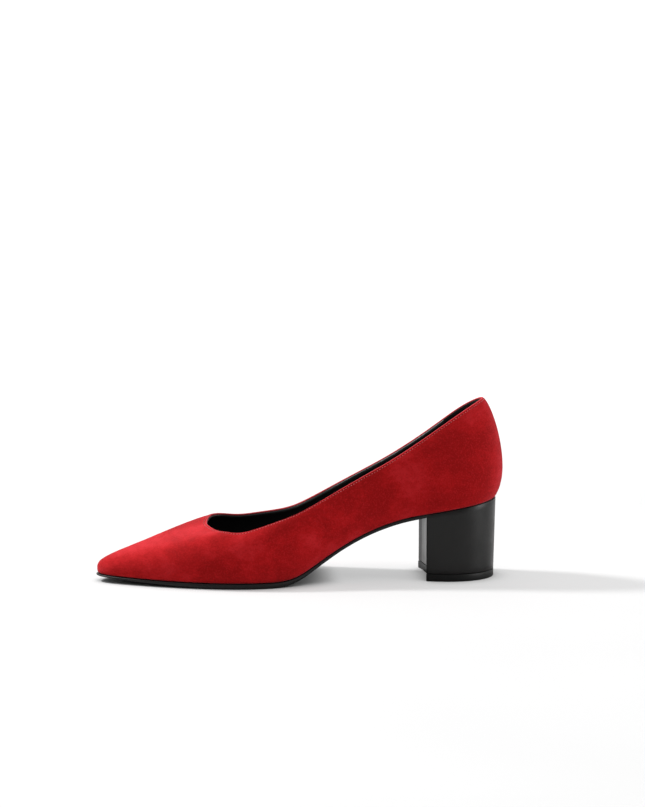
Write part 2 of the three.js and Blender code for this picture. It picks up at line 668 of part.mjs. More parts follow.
// Points round the heel, drawn in by inset. The sides bow out to the shoulder and the back is half an
// ellipse; lean moves the back forward.
function heelSides(inset, lean) {
  const sideSteps = 4;
  const backSteps = 18;
  const half = blockHalf - inset;
  const taper = blockHalf - breastHalf;
  const medial = Array.from({ length: sideSteps }, (_, i) => {
    const back = inset + ((shoulder - inset) * i) / sideSteps;
    return [back, -(half - taper * (1 - back / shoulder) ** 2)];
  });
  const round = Array.from({ length: backSteps + 1 }, (_, i) => {
    const turn = (Math.PI * i) / backSteps - Math.PI / 2;
    return [shoulder + (blockLength - shoulder - inset) * Math.cos(turn), half * Math.sin(turn)];
  });
  const lateral = medial.map(([back, y]) => [back, -y]).reverse();
  return [...medial, ...round, ...lateral].map(([back, y]) =>
    [breastX + back - (lean * back) / blockLength, heelY + y]);
}
const breastDepth = (y) => breastHollow * (1 - (y / breastHalf) ** 2);
const breastPoint = (y, inset) => [breastX + inset + breastDepth(y), heelY + y];
const breastRun = (from, to, steps, inset) =>
  Array.from({ length: steps + 1 }, (_, i) => breastPoint(mix(from, to, i / steps), inset));

// The whole outline: the sides and back, then across the breast from the outer corner to the inner one.
function heelOutline(inset, lean) {
  const run = breastRun(returnHalf, -returnHalf, breastSteps, inset);
  return [...heelSides(inset, lean), ...run];
}
const raised = (outline, height) => outline.map(([x, y]) => [x, y, height(x)]);

const blockInset = coverThickness + glueGap;
const blockSolid = stack([
  raised(heelOutline(blockInset, backLean), () => heelFoot),
  raised(heelOutline(blockInset, 0), heelTop),
]);
const pinLow = topPieceThickness - pinInPiece;
const pinAt = ([x, y]) => shaft(pinRadius, pinLow, pinLow + pinLength).translate(x, y, 0);
const pinHole = ([x, y]) => shaft(pinRadius + holeGap, pinLow - holeGap, pinLow + pinLength + holeGap)
  .translate(x, y, 0);
add("heel_block", drilled(blockSolid, [...heelHoles, ...pinSpots.map(pinHole)]), finish(0x8f8a80, 0.6));

// Leather wrapped round the block and returned on to the breast, and the panel between the returns.
function heelSkin(outlineOf) {
  const faces = [0, coverThickness];
  const [outerLow, innerLow] = faces.map((inset) => raised(outlineOf(inset, backLean), () => heelFoot));
  const [outerHigh, innerHigh] = faces.map((inset) => raised(outlineOf(inset, 0), heelTop));
  return loft(outerLow.map((_, i) =>
    [outerLow[i], outerHigh[i], innerHigh[i], innerLow[i]].map((p) => new THREE.Vector3(...p))));
}
const wrapOutline = (inset, lean) =>
  [breastPoint(-returnHalf, inset), ...heelSides(inset, lean), breastPoint(returnHalf, inset)];
const panelHalf = returnHalf - seatGap;
add("heel_cover", heelSkin(wrapOutline), finish(0x232322, 0.45));
add("heel_breast_cover", heelSkin((inset) => breastRun(-panelHalf, panelHalf, breastSteps, inset)),
  finish(0x2b2a29, 0.45));

const topPiece = stack([
  raised(heelOutline(topPieceBevel, backLean), () => 0),
  raised(heelOutline(0, backLean), () => topPieceBevel),
  raised(heelOutline(0, backLean), () => topPieceThickness),
]);
add("top_piece", drilled(topPiece, pinSpots.map(pinHole)), finish(0x121212, 0.6));

pinSpots.forEach((spot, i) => add(`top_piece_pin_${i + 1}`, pinAt(spot), steel));
nails.forEach((nail, i) => add(`heel_nail_${i + 1}`, nail.solid, steel));
add("heel_screw", screw.solid, steel);

// Origin under the middle of the shoe, on the floor.
const bounds = new THREE.Box3().setFromObject(shoe);
const middle = bounds.getCenter(new THREE.Vector3());
shoe.children.forEach((mesh) => mesh.geometry.translate(-middle.x, -middle.y, -bounds.min.z));

export default shoe;
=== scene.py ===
# Court shoe with a pointed toe, a crimson suede upper and a covered block heel.
# Drawn in millimetres from the toe tip, then moved to metres round the middle of the shoe.
import math
import bpy
import bmesh
import numpy as np
from mathutils import Matrix, Vector


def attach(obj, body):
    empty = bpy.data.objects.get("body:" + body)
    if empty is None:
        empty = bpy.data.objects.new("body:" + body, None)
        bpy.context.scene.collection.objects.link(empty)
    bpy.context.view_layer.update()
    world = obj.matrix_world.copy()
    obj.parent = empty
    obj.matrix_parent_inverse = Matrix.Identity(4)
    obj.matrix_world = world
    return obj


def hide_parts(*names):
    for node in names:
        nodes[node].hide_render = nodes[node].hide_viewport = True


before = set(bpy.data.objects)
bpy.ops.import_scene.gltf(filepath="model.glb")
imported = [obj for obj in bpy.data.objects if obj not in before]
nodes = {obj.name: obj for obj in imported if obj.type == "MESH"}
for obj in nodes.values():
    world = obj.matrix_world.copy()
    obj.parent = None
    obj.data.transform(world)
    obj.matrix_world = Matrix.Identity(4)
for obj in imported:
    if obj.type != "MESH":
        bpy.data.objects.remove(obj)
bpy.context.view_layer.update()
middle = np.array([124.50499, -1.6374, 0.0])  # from the toe tip, on the floor


def toMetres(points):
    return (np.asarray(points, float) - middle) * 0.001


# Curves the last is drawn with.
def throughKnots(knots):  # natural cubic, straight beyond its ends
    x, y = np.array(knots, float).T
    n = len(x)
    h, matrix, right = np.diff(x), np.eye(n), np.zeros(n)
    for i in range(1, n - 1):
        matrix[i, i - 1:i + 2] = [h[i - 1], 2 * (h[i - 1] + h[i]), h[i]]
        right[i] = 6 * ((y[i + 1] - y[i]) / h[i] - (y[i] - y[i - 1]) / h[i - 1])
    bend = np.linalg.solve(matrix, right)
    firstSlope = (y[1] - y[0]) / h[0] - h[0] * bend[1] / 6
    lastSlope = (y[-1] - y[-2]) / h[-1] + h[-1] * bend[-2] / 6

    def at(value):
        v = np.asarray(value, float)
        i = np.clip(np.searchsorted(x, v) - 1, 0, n - 2)
        a, b = (x[i + 1] - v) / h[i], (v - x[i]) / h[i]
        inside = a * y[i] + b * y[i + 1] + \
            ((a ** 3 - a) * bend[i] + (b ** 3 - b) * bend[i + 1]) * h[i] ** 2 / 6
        low, high = y[0] + firstSlope * (v - x[0]), y[-1] + lastSlope * (v - x[-1])
        return np.where(v <= x[0], low, np.where(v >= x[-1], high, inside))
    return at


def throughStations(values, parity):  # smooth through the stations, mirrored about both ends
    values = np.array(values, float)
    last = len(values) - 1
    control = values.copy()

    def reach(i):
        i = np.asarray(i)
        folded = np.where(i < 0, -i, np.where(i > last, 2 * last - i, i))
        return np.where((i < 0) | (i > last), parity, 1) * control[folded]
    order = np.arange(last + 1)
    for _ in range(40):
        control = (6 * values - reach(order - 1) - reach(order + 1)) / 4

    def at(value):
        v = np.asarray(value, float)
        i = np.minimum(np.floor(v).astype(int), last)
        f = v - i
        weights = [(1 - f) ** 3, 3 * f ** 3 - 6 * f ** 2 + 4, -3 * f ** 3 + 3 * f ** 2 + 3 * f + 1, f ** 3]
        return sum(w * reach(i - 1 + k) for k, w in enumerate(weights)) / 6
    return at


def smooth(low, high, value):
    t = np.clip((np.asarray(value, float) - low) / (high - low), 0, 1)
    return t * t * (3 - 2 * t)


# The last: feather line, two handles and topline at 14 stations from the toe to the heel.
last = {
    "featherX": [0.3, 5.5, 20, 40, 62, 85, 108, 132, 158, 184, 208, 228, 240.5, 244.9],
    "featherW": [0, 8.4, 16.6, 25.5, 32.6, 37.5, 37.2, 30.3, 24.5, 23, 25, 23.5, 14.5, 0],
    "bellyOut": [1.9, 2, 3, 3, 3.4, 4, 4.3, 6, 6, 6, 5, 6, 8.5, 12],
    "bellyUp": [9.8, 9.6, 9.5, 10.5, 11.3, 11, 12, 13, 14, 16, 16, 16, 16, 16],
    "shoulderX": [1.4, 16, 37, 58, 75, 88.5, 106, 130, 157, 182, 205.5, 225.5, 239, 243],
    "shoulderW": [0, 10, 18, 25, 31.5, 37, 37, 33, 29, 27, 25.6, 20.6, 13, 0],
    "shoulderUp": [9.7, 14.4, 22.4, 29.4, 30.6, 28.1, 30.6, 32.5, 29.3, 31, 39.6, 49.1, 56.3, 61],
    "topX": [67, 67.8, 70.2, 74.3, 80, 92, 114, 134, 157, 182, 205, 223, 233.5, 236.5],
    "topW": [0, 6.5, 13, 20.5, 26.5, 30.5, 31, 28.5, 25.8, 23.3, 20.4, 15.6, 8.2, 0],
    "topUp": [31.4, 31.9, 32.2, 31.6, 31, 31.1, 35.4, 34.8, 33.9, 37.6, 47.7, 57.3, 61.8, 62.8],
    "heelLift": 46, "layerFoot": 2.4, "trim": 0.8, "tape": 6,
}
layers = {"upper": 1.1, "glue": 0.2, "stiff": 0.9, "skived": 0.3, "tape": 0.3, "lining": 0.8}
guide = {key: throughStations(values, -1 if key.endswith("W") else 1)
         for key, values in last.items() if isinstance(values, list)}
forepart = throughKnots([[0, 5.0], [18, 4.4], [40, 3.9], [65, 3.5], [85, 3.4], [110, 3.4], [140, 3.4]])
climb = throughKnots([[85, 0], [97, 0], [108, 0.001], [115, 0.015], [122, 0.06], [130, 0.155], [145, 0.36],
                      [160, 0.54], [175, 0.68], [190, 0.78], [200, 0.826], [215, 0.884], [230, 0.942],
                      [245, 1]])
swing = throughKnots([[0, -6.5], [40, -4.8], [90, -2.2], [125, 0.8], [160, 2], [205, 0.6], [249, 0]])
toplineTilt = throughKnots([[0, 0], [1, -1], [2, -2], [3, -2], [4, -1.3], [5, -0.4], [6, 1.8], [7, 2.4],
                            [9, 2.4], [10, 2.1], [11, 1], [12, 0.3], [13, 0]])


def soleLine(x):
    return forepart(x) + np.where(np.asarray(x) < 97, 0, last["heelLift"] * np.maximum(0, climb(x)))


def stacked(x, thickness):  # vertical measure of a thickness laid square on the slope
    return thickness * np.hypot(1, soleLine(x + 0.5) - soleLine(x - 0.5))


def place(turn):  # turn runs 0 at the toe, 13 at the heel along the inner side, and on to 26
    turn = np.mod(turn, 26)
    return np.where(turn <= 13, -1, 1), np.where(turn <= 13, turn, 26 - turn)


def featherPoint(turn):
    side, at = place(turn)
    x = guide["featherX"](at)
    return np.stack([x, swing(x) + side * guide["featherW"](at), soleLine(x)], -1)


def featherOut(turn):
    run = featherPoint(turn + 0.01) - featherPoint(turn - 0.01)
    out = np.stack([run[..., 1], -run[..., 0], 0 * run[..., 0]], -1)
    return out / np.linalg.norm(out, axis=-1, keepdims=True)


def sectionHandles(turn):
    side, at = place(turn)
    foot = featherPoint(turn)
    belly = foot + featherOut(turn) * guide["bellyOut"](at)[:, None]
    belly[:, 2] += guide["bellyUp"](at)
    tilt = -side * toplineTilt(at)
    handles = [foot, belly]
    for name in ("shoulder", "top"):
        x = guide[name + "X"](at)
        handles.append(np.stack([x, swing(x) + side * guide[name + "W"](at),
                                 soleLine(x) + guide[name + "Up"](at) + tilt], -1))
    return handles


def onSection(handles, t):
    a, b, c, d = [h[:, None, :] for h in handles]
    t = t[..., None]
    return a * (1 - t) ** 3 + 3 * b * t * (1 - t) ** 2 + 3 * c * t ** 2 * (1 - t) + d * t ** 3


def rowMeasure(handles, rows):
    # Rows 0 to 12 climb from the feather line to the topline. Row 1 is the foot of the inner layers, row 10
    # the foot of the tape and row 11 the trimmed edge of the lining.
    t = np.linspace(0, 1, 241)
    points = onSection(handles, np.broadcast_to(t, (len(handles[0]), 241)))
    lengths = np.concatenate([np.zeros((len(points), 1)),
                              np.cumsum(np.linalg.norm(np.diff(points, axis=1), axis=-1), 1)], 1)
    rows = np.asarray(rows, float)
    result = np.zeros((len(points), len(rows)))
    for i, run in enumerate(lengths):
        full = run[-1]
        foot, band = last["layerFoot"], last["trim"] + last["tape"]
        share = np.clip((rows - 1) / 9, 0, 1)
        even = np.interp(foot + (full - band - foot) * share, run, t)
        ends = np.interp([foot, full - band], run, t)
        middleRows = 0.5 * even + 0.5 * (ends[0] + (ends[1] - ends[0]) * share)
        low = np.interp(foot * rows, run, t)
        below = np.where(rows > 11, last["trim"] * (12 - rows), last["trim"] + last["tape"] * (11 - rows))
        high = np.interp(full - below, run, t)
        result[i] = np.where(rows < 1, low, np.where(rows > 10, high, middleRows))
    return result


def onWall(turn, rows, depth=0.0):  # points sunk by depth under the outside, with the outward and upward ways
    handles = sectionHandles(turn)
    t = rowMeasure(handles, rows)
    points = onSection(handles, t)
    up = onSection(handles, np.minimum(t + 0.002, 1)) - onSection(handles, np.minimum(t + 0.002, 1) - 0.004)
    along = onSection(sectionHandles(turn + 0.02), t) - onSection(sectionHandles(turn - 0.02), t)
    out = np.cross(up, along)
    out /= np.linalg.norm(out, axis=-1, keepdims=True)
    out *= np.sign((out[:, :1] * featherOut(turn)[:, None]).sum(-1, keepdims=True))
    up /= np.linalg.norm(up, axis=-1, keepdims=True)
    return points - out * np.broadcast_to(depth, points.shape[:2])[..., None], out, up


# Meshes from loops.
def meshFrom(name, points, faces, uvs=None, sharp=35):
    mesh = bpy.data.meshes.new(name)
    mesh.from_pydata(points.tolist(), [], faces)
    if uvs is not None:
        mesh.uv_layers.new(name="surface").data.foreach_set("uv", np.asarray(uvs, np.float32).ravel())
    shape = bmesh.new()
    shape.from_mesh(mesh)
    bmesh.ops.remove_doubles(shape, verts=shape.verts, dist=2e-6)
    bmesh.ops.dissolve_degenerate(shape, edges=shape.edges, dist=2e-6)
    if shape.calc_volume(signed=True) < 0:
        bmesh.ops.reverse_faces(shape, faces=shape.faces)
    shape.to_mesh(mesh)
    shape.free()
    mesh.shade_smooth()
    mesh.set_sharp_from_angle(angle=math.radians(sharp))
    piece = bpy.data.objects.new(name, mesh)
    bpy.context.scene.collection.objects.link(piece)
    return piece


def sideFaces(count, size, closed):  # the quads between neighbouring sections
    faces = []
    for i in range(count if closed else count - 1):
        for k in range(size):
            j, m = (i + 1) % count, (k + 1) % size
            faces.append((i * size + k, j * size + k, j * size + m, i * size + m))
    return faces


def capFaces(count, size):  # the quads over the first and the last section, each point joined to its mirror
    faces = []
    for first, turned in ((0, False), ((count - 1) * size, True)):
        for k in range(size // 2 - 1):
            quad = [first + k, first + k + 1, first + size - 2 - k, first + size - 1 - k]
            faces.append(tuple(quad[::-1] if turned else quad))
    return faces


def loft(name, loops, closed, sharp=35):  # loops[i] is one section all round, and an open loft gets its caps
    count, size = loops.shape[:2]
    run = np.linalg.norm(np.diff(np.concatenate([loops, loops[:1]]).mean(1), axis=0), axis=-1)
    run = np.concatenate([[0], np.cumsum(run)])
    around = np.linalg.norm(np.diff(np.concatenate([loops, loops[:, :1]], 1), axis=1), axis=-1).mean(0)
    around = np.concatenate([[0], np.cumsum(around)])
    faces = sideFaces(count, size, closed)
    uvs = [(run[i + a], around[k + b]) for i in range(len(faces) // size) for k in range(size)
           for a, b in ((0, 0), (1, 0), (1, 1), (0, 1))]
    if not closed:
        caps = capFaces(count, size)
        faces += caps
        uvs += [(0, 0)] * (4 * len(caps))
    return meshFrom(name, toMetres(loops.reshape(-1, 3)), faces, np.array(uvs) * 0.001, sharp)


def unevenness(points, size, seed):  # slow waves, -1 to 1, for leather that is never quite true
    spin = np.random.default_rng(seed)
    value = np.zeros(points.shape[:-1])
    for _ in range(7):
        way = spin.normal(size=3)
        way *= 2 * math.pi / (size * (0.7 + 0.9 * spin.random()) * np.linalg.norm(way))
        value += np.sin(points @ way + spin.random() * 6.28)
    return value / 3.5


# The upper.
upper = {"columns": 364, "roundFoot": 1.1, "bead": 0.58, "margin": 12, "stitchSetback": 1.8,
         "stitchSink": 0.1, "stitchWidth": 0.26, "wave": 0.13, "waveSize": 42, "ripple": 0.035,
         "rippleSize": 11,
         "rolls": [(0.04, 1.0, 0.35), (0.05, 2.6, 0.6)],  # height, distance below the topline, half width
         "edgeRows": [6.8, 5.4, 4.2, 3.3, 2.7, 2.4, 2.15, 1.95, 1.8, 1.65, 1.45, 1.15, 0.9, 0.7, 0.58]}
turns = np.arange(upper["columns"]) * 26 / upper["columns"]


def setbackRow(distance):  # row a distance below the topline
    trim, tape = last["trim"], last["tape"]
    return np.where(distance < trim, 12 - distance / trim, 11 - (distance - trim) / tape)


spineOf = {"square": 4.5, "front": 20.3, "back": 226.9, "most": 0.8}


def intoFoot(turn, inset, share, rise):
    # In from the feather line by inset, then a share of the way to the middle of the foot, at a rise above
    # the sole line.
    at = place(turn)[1]
    inset = np.broadcast_to(inset, turn.shape)
    square = np.minimum(inset, spineOf["square"])
    point = featherPoint(turn) - featherOut(turn) * square[:, None]
    spineX = np.clip(guide["featherX"](at), spineOf["front"], spineOf["back"])
    spine = np.stack([spineX, swing(spineX), point[:, 2]], -1)
    inwards = spine - point
    reach = np.linalg.norm(inwards, axis=-1)
    used = np.minimum((inset - square) / np.maximum(reach, 0.01), spineOf["most"])
    used = used + (1 - used) * share
    point = point + inwards * used[:, None]
    point[:, 2] = soleLine(point[:, 0]) + stacked(point[:, 0], rise)
    return point


def makeUpper():
    footRows = np.array([0, 0.1, 0.25, 0.45, 0.7, 1])
    topRows = setbackRow(np.array(upper["edgeRows"]))
    rows = np.concatenate([footRows, np.linspace(1, 10, 40)[1:-1], topRows])
    outside, out, up = onWall(turns, rows)
    below = np.where(rows > 11, last["trim"] * (12 - rows), last["trim"] + last["tape"] * (11 - rows))
    quiet = smooth(0, 1.5, rows) * smooth(11.9, 10, rows)
    lift = upper["wave"] * unevenness(outside, upper["waveSize"], 3) + \
        upper["ripple"] * unevenness(outside, upper["rippleSize"], 5)
    lift = lift * quiet
    lift -= upper["stitchSink"] * np.exp(-((below - upper["stitchSetback"]) / upper["stitchWidth"]) ** 2)
    lift += sum(high * np.exp(-((below - at) / wide) ** 2) for high, at, wide in upper["rolls"])
    outside = outside + out * lift[..., None]
    # The foot of the wall is rounded under.
    rise = np.linalg.norm(outside - outside[:, :1], axis=-1)
    radius = upper["roundFoot"]
    tuck = radius - np.sqrt(np.maximum(radius ** 2 - np.maximum(radius - rise, 0) ** 2, 0))
    outside = outside - featherOut(turns)[:, None] * tuck[..., None]
    # The folded edge, as a bead over the top.
    bead, edge = upper["bead"], outside[:, -1]
    arc = np.radians(np.arange(15, 181, 15))
    fold = np.stack([edge + up[:, -1] * bead * math.sin(a) - out[:, -1] * bead * (1 - math.cos(a))
                     for a in arc], 1)
    hemRows = setbackRow(np.array([0.8, 1.0]))
    hem = onWall(turns, hemRows, np.array([2 * bead - 0.02, layers["upper"] + 0.02]))[0]
    innerRows = np.concatenate([np.linspace(1, 10, 28), [10.5]])[::-1]
    inside = onWall(turns, innerRows, layers["upper"])[0]
    insets = [radius, 2, 3.5, 6, 9, upper["margin"] - 0.2, upper["margin"]]
    under = [intoFoot(turns, inset, 0, 0.0 if inset < upper["margin"] else 0.15) for inset in insets]
    over = [intoFoot(turns, inset, 0, layers["upper"]) for inset in (upper["margin"] - 0.2, 9, 6, 3.5)]
    loops = np.concatenate([outside, fold, hem, inside, np.stack(over[::-1], 1), np.stack(under[::-1], 1)], 1)
    piece = loft("suedeUpper", loops, True, sharp=50)
    # Its own measure: along the topline, and down from it.
    edgeRun = np.linalg.norm(np.diff(np.concatenate([edge, edge[:1]]), axis=0), axis=-1)
    alongEdge = np.concatenate([[0], np.cumsum(edgeRun)])
    down = np.full(loops.shape[1], 0.2)
    gaps = np.linalg.norm(np.diff(outside, axis=1), axis=-1).mean(0)
    down[:len(rows)] = bead + np.concatenate([np.cumsum(gaps[::-1])[::-1], [0]])
    down[len(rows) + len(fold[0]) + 2:] = 60
    return piece, loops, alongEdge, down


print("upper")
suedeUpper, upperLoops, toplineRun, downRows = makeUpper()


def measureUpper():  # writes the topline measure on to the welded mesh, face corner by face corner
    size = upperLoops.shape[1]
    count = len(upperLoops)
    spots = {}
    for i, loop in enumerate(toMetres(upperLoops)):
        for k, p in enumerate(loop):
            spots.setdefault(tuple(np.round(p, 5)), (i, k))
    layer = suedeUpper.data.uv_layers[0].data
    mesh = suedeUpper.data
    for face in mesh.polygons:
        found = [spots.get(tuple(np.round(mesh.vertices[v].co, 5)), (0, size - 1)) for v in face.vertices]
        wraps = {i for i, _ in found} >= {0, count - 1}
        for corner, (i, k) in zip(face.loop_indices, found):
            layer[corner].uv = (toplineRun[count if wraps and i == 0 else i] * 0.001, downRows[k] * 0.001)


measureUpper()


# Layers inside the wall.
def puffSkin(at, rows):
    zone = (1 - smooth(2.9, 4.1, at))[:, None] * (1 - smooth(7.2, 9, rows))[None]
    return layers["skived"] + (layers["stiff"] - layers["skived"]) * zone


def counterSkin(at, rows):
    zone = smooth(8.9, 10.1, at)[:, None] * (1 - smooth(8, 9.4, rows))[None]
    return layers["skived"] + (layers["stiff"] - layers["skived"]) * zone


def wallLayer(name, start, end, rows, depths, pinch=0.3):
    # A layer of the wall between two turns. depths(at, rows) gives its outer and inner depth, and its top and
    # bottom edges are pinched round.
    closed = end - start >= 26
    count = max(8, int((end - start) * upper["columns"] / 26))
    turn = start + (end - start) * np.arange(count) / (count if closed else count - 1)
    at = place(turn)[1]
    outer, inner = depths(at, rows)
    outer, inner = np.array(outer), np.array(inner)
    for row, amount in ((0, pinch), (1, pinch * 0.3), (-1, pinch), (-2, pinch * 0.3)):
        body = inner[:, row] - outer[:, row]
        outer[:, row] += body * amount
        inner[:, row] -= body * amount
    loops = np.concatenate([onWall(turn, rows, outer)[0], onWall(turn, rows[::-1], inner[:, ::-1])[0]], 1)
    return loft(name, loops, closed)


start = layers["upper"] + layers["glue"]


def spread(depth, at, rows):
    return np.full((len(at), len(rows)), depth)


def puffDepths(at, rows):
    return spread(start, at, rows), start + puffSkin(at, rows)


def counterDepths(at, rows):
    return spread(start, at, rows), start + counterSkin(at, rows)


def tapeDepths(at, rows):
    return spread(start, at, rows), spread(start + layers["tape"], at, rows)


def edged(low, high, steps, rim=0.04):  # rows with a close pair at either end
    return np.concatenate([[low, low + rim], np.linspace(low, high, steps)[1:-1], [high - rim, high]])


def liningDepths(at, rows):  # laid over the stiffeners, and stitched close to the upper at its top edge
    skin = np.maximum(np.maximum(puffSkin(at, rows), counterSkin(at, rows)), layers["tape"])
    close = smooth(10.76, 11.1, rows)[None]
    outer = (start + skin + layers["glue"]) * (1 - close) + (layers["upper"] + 0.1) * close
    return outer, outer + layers["lining"] * (1 - 0.1 * close)


liningRows = np.concatenate([edged(1, 10.6, 22)[:-1],
                             [10.72, 10.8, 10.87, 10.94, 11.02, 11.1, 11.3, 11.48, 11.55]])
print("linings and stiffeners")
wallPieces = {  # name: first turn, last turn, rows, depths, node, slot
    "toePuff": (-4, 4, edged(1, 9, 16), puffDepths, "toe_puff", "stiffener"),
    "heelCounter": (9, 17, edged(1, 9, 16), counterDepths, "heel_counter", "stiffener"),
    "sideLinerMedial": (4.01, 8.99, edged(1, 9, 12), tapeDepths, "side_liner_medial", "cloth"),
    "sideLinerLateral": (17.01, 21.99, edged(1, 9, 12), tapeDepths, "side_liner_lateral", "cloth"),
    "toplineTape": (0, 26, edged(10, 10.74, 5), tapeDepths, "topline_tape", "cloth"),
    "vampLining": (-6.498, 6.498, liningRows, liningDepths, "vamp_lining", "lining_leather"),
    "quarterLiningMedial": (6.502, 10.498, liningRows, liningDepths, "quarter_lining_medial",
                            "lining_leather"),
    "quarterLiningLateral": (15.502, 19.498, liningRows, liningDepths, "quarter_lining_lateral",
                             "lining_leather"),
    "heelGrip": (10.502, 15.498, liningRows, liningDepths, "heel_grip", "grip_suede"),
}
made = {}
for name, (first, final, rows, depths, node, slot) in wallPieces.items():
    made[name] = wallLayer(name, first, final, rows, depths)


# The bottom.
def makeSlab(name, first, final, profile, steps, sharp, floor=False):
    # profile(at) lists (inset, share, rise) down one half of the section, from the middle of the top to the
    # middle of the underside. The other half is its mirror, point for point.
    at = np.linspace(first, final, steps)
    halves = [np.stack([intoFoot(turn, *figures) for figures in profile(at)], 1) for turn in (at, 26 - at)]
    loops = np.concatenate([halves[0], halves[1][:, ::-1]], 1)
    if floor:
        loops[..., 2] = np.maximum(loops[..., 2], 0)
    count, size = loops.shape[:2]
    faces = sideFaces(count, size, False) + capFaces(count, size)
    return meshFrom(name, toMetres(loops.reshape(-1, 3)), faces, None, sharp)


sole = {"reach": 0.9, "gap": 0.3, "flat": 1.6,
        "depths": [[0, 1.1], [20, 1.6], [45, 2.4], [65, 3.3], [105, 3.4], [120, 2.6], [140, 1.8], [170, 1.8],
                   [250, 1.8]],
        "edge": [(1.6, 0), (0.5, 0.01), (0.22, 0.05), (0.06, 0.16), (0, 0.34), (0, 0.52), (0.1, 0.72),
                 (0.3, 0.87), (0.62, 0.965), (1.1, 1)]}  # inset, share of the depth
board = {"foot": 1.4, "thickness": 2, "gap": 0.3}
soleDepth = throughKnots(sole["depths"])
cushionLow = board["foot"] + board["thickness"] + board["gap"]
inwardShares = [1, 0.85, 0.7, 0.55, 0.4, 0.25, 0.12]


def outsoleProfile(at):
    x = guide["featherX"](at)
    depth = soleDepth(x)
    reach = sole["reach"] * (1 - smooth(100, 135, x))
    edge = -reach + 1.3 * smooth(196, 201.5, x)
    thin = 0.45 + 0.55 * reach / sole["reach"]
    top = -sole["gap"]
    rings = [(sole["flat"] + edge * 0, share, top + 0 * x) for share in inwardShares]
    rings += [(edge + inset * thin, 0, top - depth * fall) for inset, fall in sole["edge"]]
    rings += [(sole["flat"] + edge * 0, share, top - depth) for share in inwardShares[::-1]]
    return rings


def bump(at, rise, fall):  # 0 to 1 over a cushion that starts at rise and ends at fall
    return smooth(rise - 0.5, rise + 0.5, at) * (1 - smooth(fall - 0.5, fall + 0.5, at))


def overCushions(at):
    return np.maximum(bump(at, 3.4, 6.1), smooth(9.6, 10.6, at))


def liningInset(at, rise):  # how far in the lining's inside lies, at a rise above the sole line
    insets = []
    for turn in (at, 26 - at):
        rows = np.linspace(1, 6, 26)
        inner = liningDepths(at, rows)[1]
        points = onWall(turn, rows, inner)[0]
        rises = (points[..., 2] - soleLine(points[..., 0])) / stacked(points[..., 0], 1)
        inwards = ((featherPoint(turn)[:, None] - points) * featherOut(turn)[:, None]).sum(-1)
        wanted = np.broadcast_to(rise, at.shape)
        insets.append([np.interp(want, r, i) for want, r, i in zip(wanted, rises, inwards)])
    return np.max(insets, 0)


sock = {"thickness": 0.9, "pad": 1.9, "cup": 0.9, "edgeGap": 0.12}


def sockProfile(at):
    low = cushionLow + sock["pad"] * overCushions(at)
    high = low + sock["thickness"]
    edge = np.maximum(liningInset(at, high + sock["cup"]), liningInset(at, low)) + sock["edgeGap"]
    cup = sock["cup"]
    rings = [(edge + 5, share, high) for share in inwardShares]
    rings += [(edge + 5, 0, high), (edge + 3.2, 0, high + 0.06 * cup), (edge + 2, 0, high + 0.25 * cup),
              (edge + 1.2, 0, high + 0.5 * cup), (edge + 0.5, 0, high + 0.85 * cup),
              (edge + 0.15, 0, high + cup),
              (edge, 0, high + 0.8 * cup), (edge, 0, high + 0.3 * cup), (edge + 0.3, 0, low + 0.5 * cup),
              (edge + 1.2, 0, low + 0.1 * cup), (edge + 3.2, 0, low)]
    rings += [(edge + 5, share, low) for share in inwardShares[::-1]]
    return rings


cushion = {"thickness": 1.6, "inset": 5.0, "crown": 0.75}


def cushionProfile(first, final):
    def profile(at):
        ends = smooth(first, first + 0.5, at) * (1 - smooth(final - 0.5, final, at) * (final < 13))
        crown = cushion["thickness"] * (1 - cushion["crown"] * (1 - ends))
        inset = cushion["inset"]
        rings = [(inset + 6, share, cushionLow + crown) for share in inwardShares]
        for a in np.radians([0, 20, 40, 55, 68, 80, 90]):
            bulge = math.cos(a) ** 0.6 if a < 1.5 else 0
            rings.append((inset + 6 * (1 - math.sin(a)), 0, cushionLow + 0.35 + (crown - 0.35) * bulge))
        rings += [(inset + 0.2, 0, cushionLow + 0.1 + 0 * at), (inset + 1, 0, cushionLow + 0 * at)]
        rings += [(inset + 6, share, cushionLow + 0 * at) for share in inwardShares[::-1]]
        return rings
    return profile


print("sole, sock and cushions")
outsole = makeSlab("outsole", 0, 13, outsoleProfile, steps=182, floor=True, sharp=60)
sockLining = makeSlab("sockLining", 0, 13, sockProfile, steps=156, sharp=50)
ballCushion = makeSlab("ballCushion", 3.5, 6, cushionProfile(3.5, 6), steps=40, sharp=60)
heelCushion = makeSlab("heelCushion", 10, 13, cushionProfile(10, 13), steps=42, sharp=60)


# The heel.
heel = {"length": 45.4, "half": 25, "breastHalf": 22.4, "shoulder": 17, "hollow": 3, "lean": 1, "return": 6.5,
        "cover": 0.9, "foot": 4.8, "corner": 1.3, "edge": 0.35, "breastX": 200.2, "y": 0.3021,
        "reachUp": 0.55, "columns": 190, "panelGap": 0.12,
        "topPiece": 4.5, "bevel": 0.4, "topCorner": 1.2, "topColumns": 220}


def breastDepth(y):
    return heel["hollow"] * (1 - (y / heel["breastHalf"]) ** 2)


def breastRun(first, final, steps, inset):
    y = np.linspace(first, final, steps)
    return np.stack([heel["breastX"] + inset + breastDepth(y), heel["y"] + y], -1)


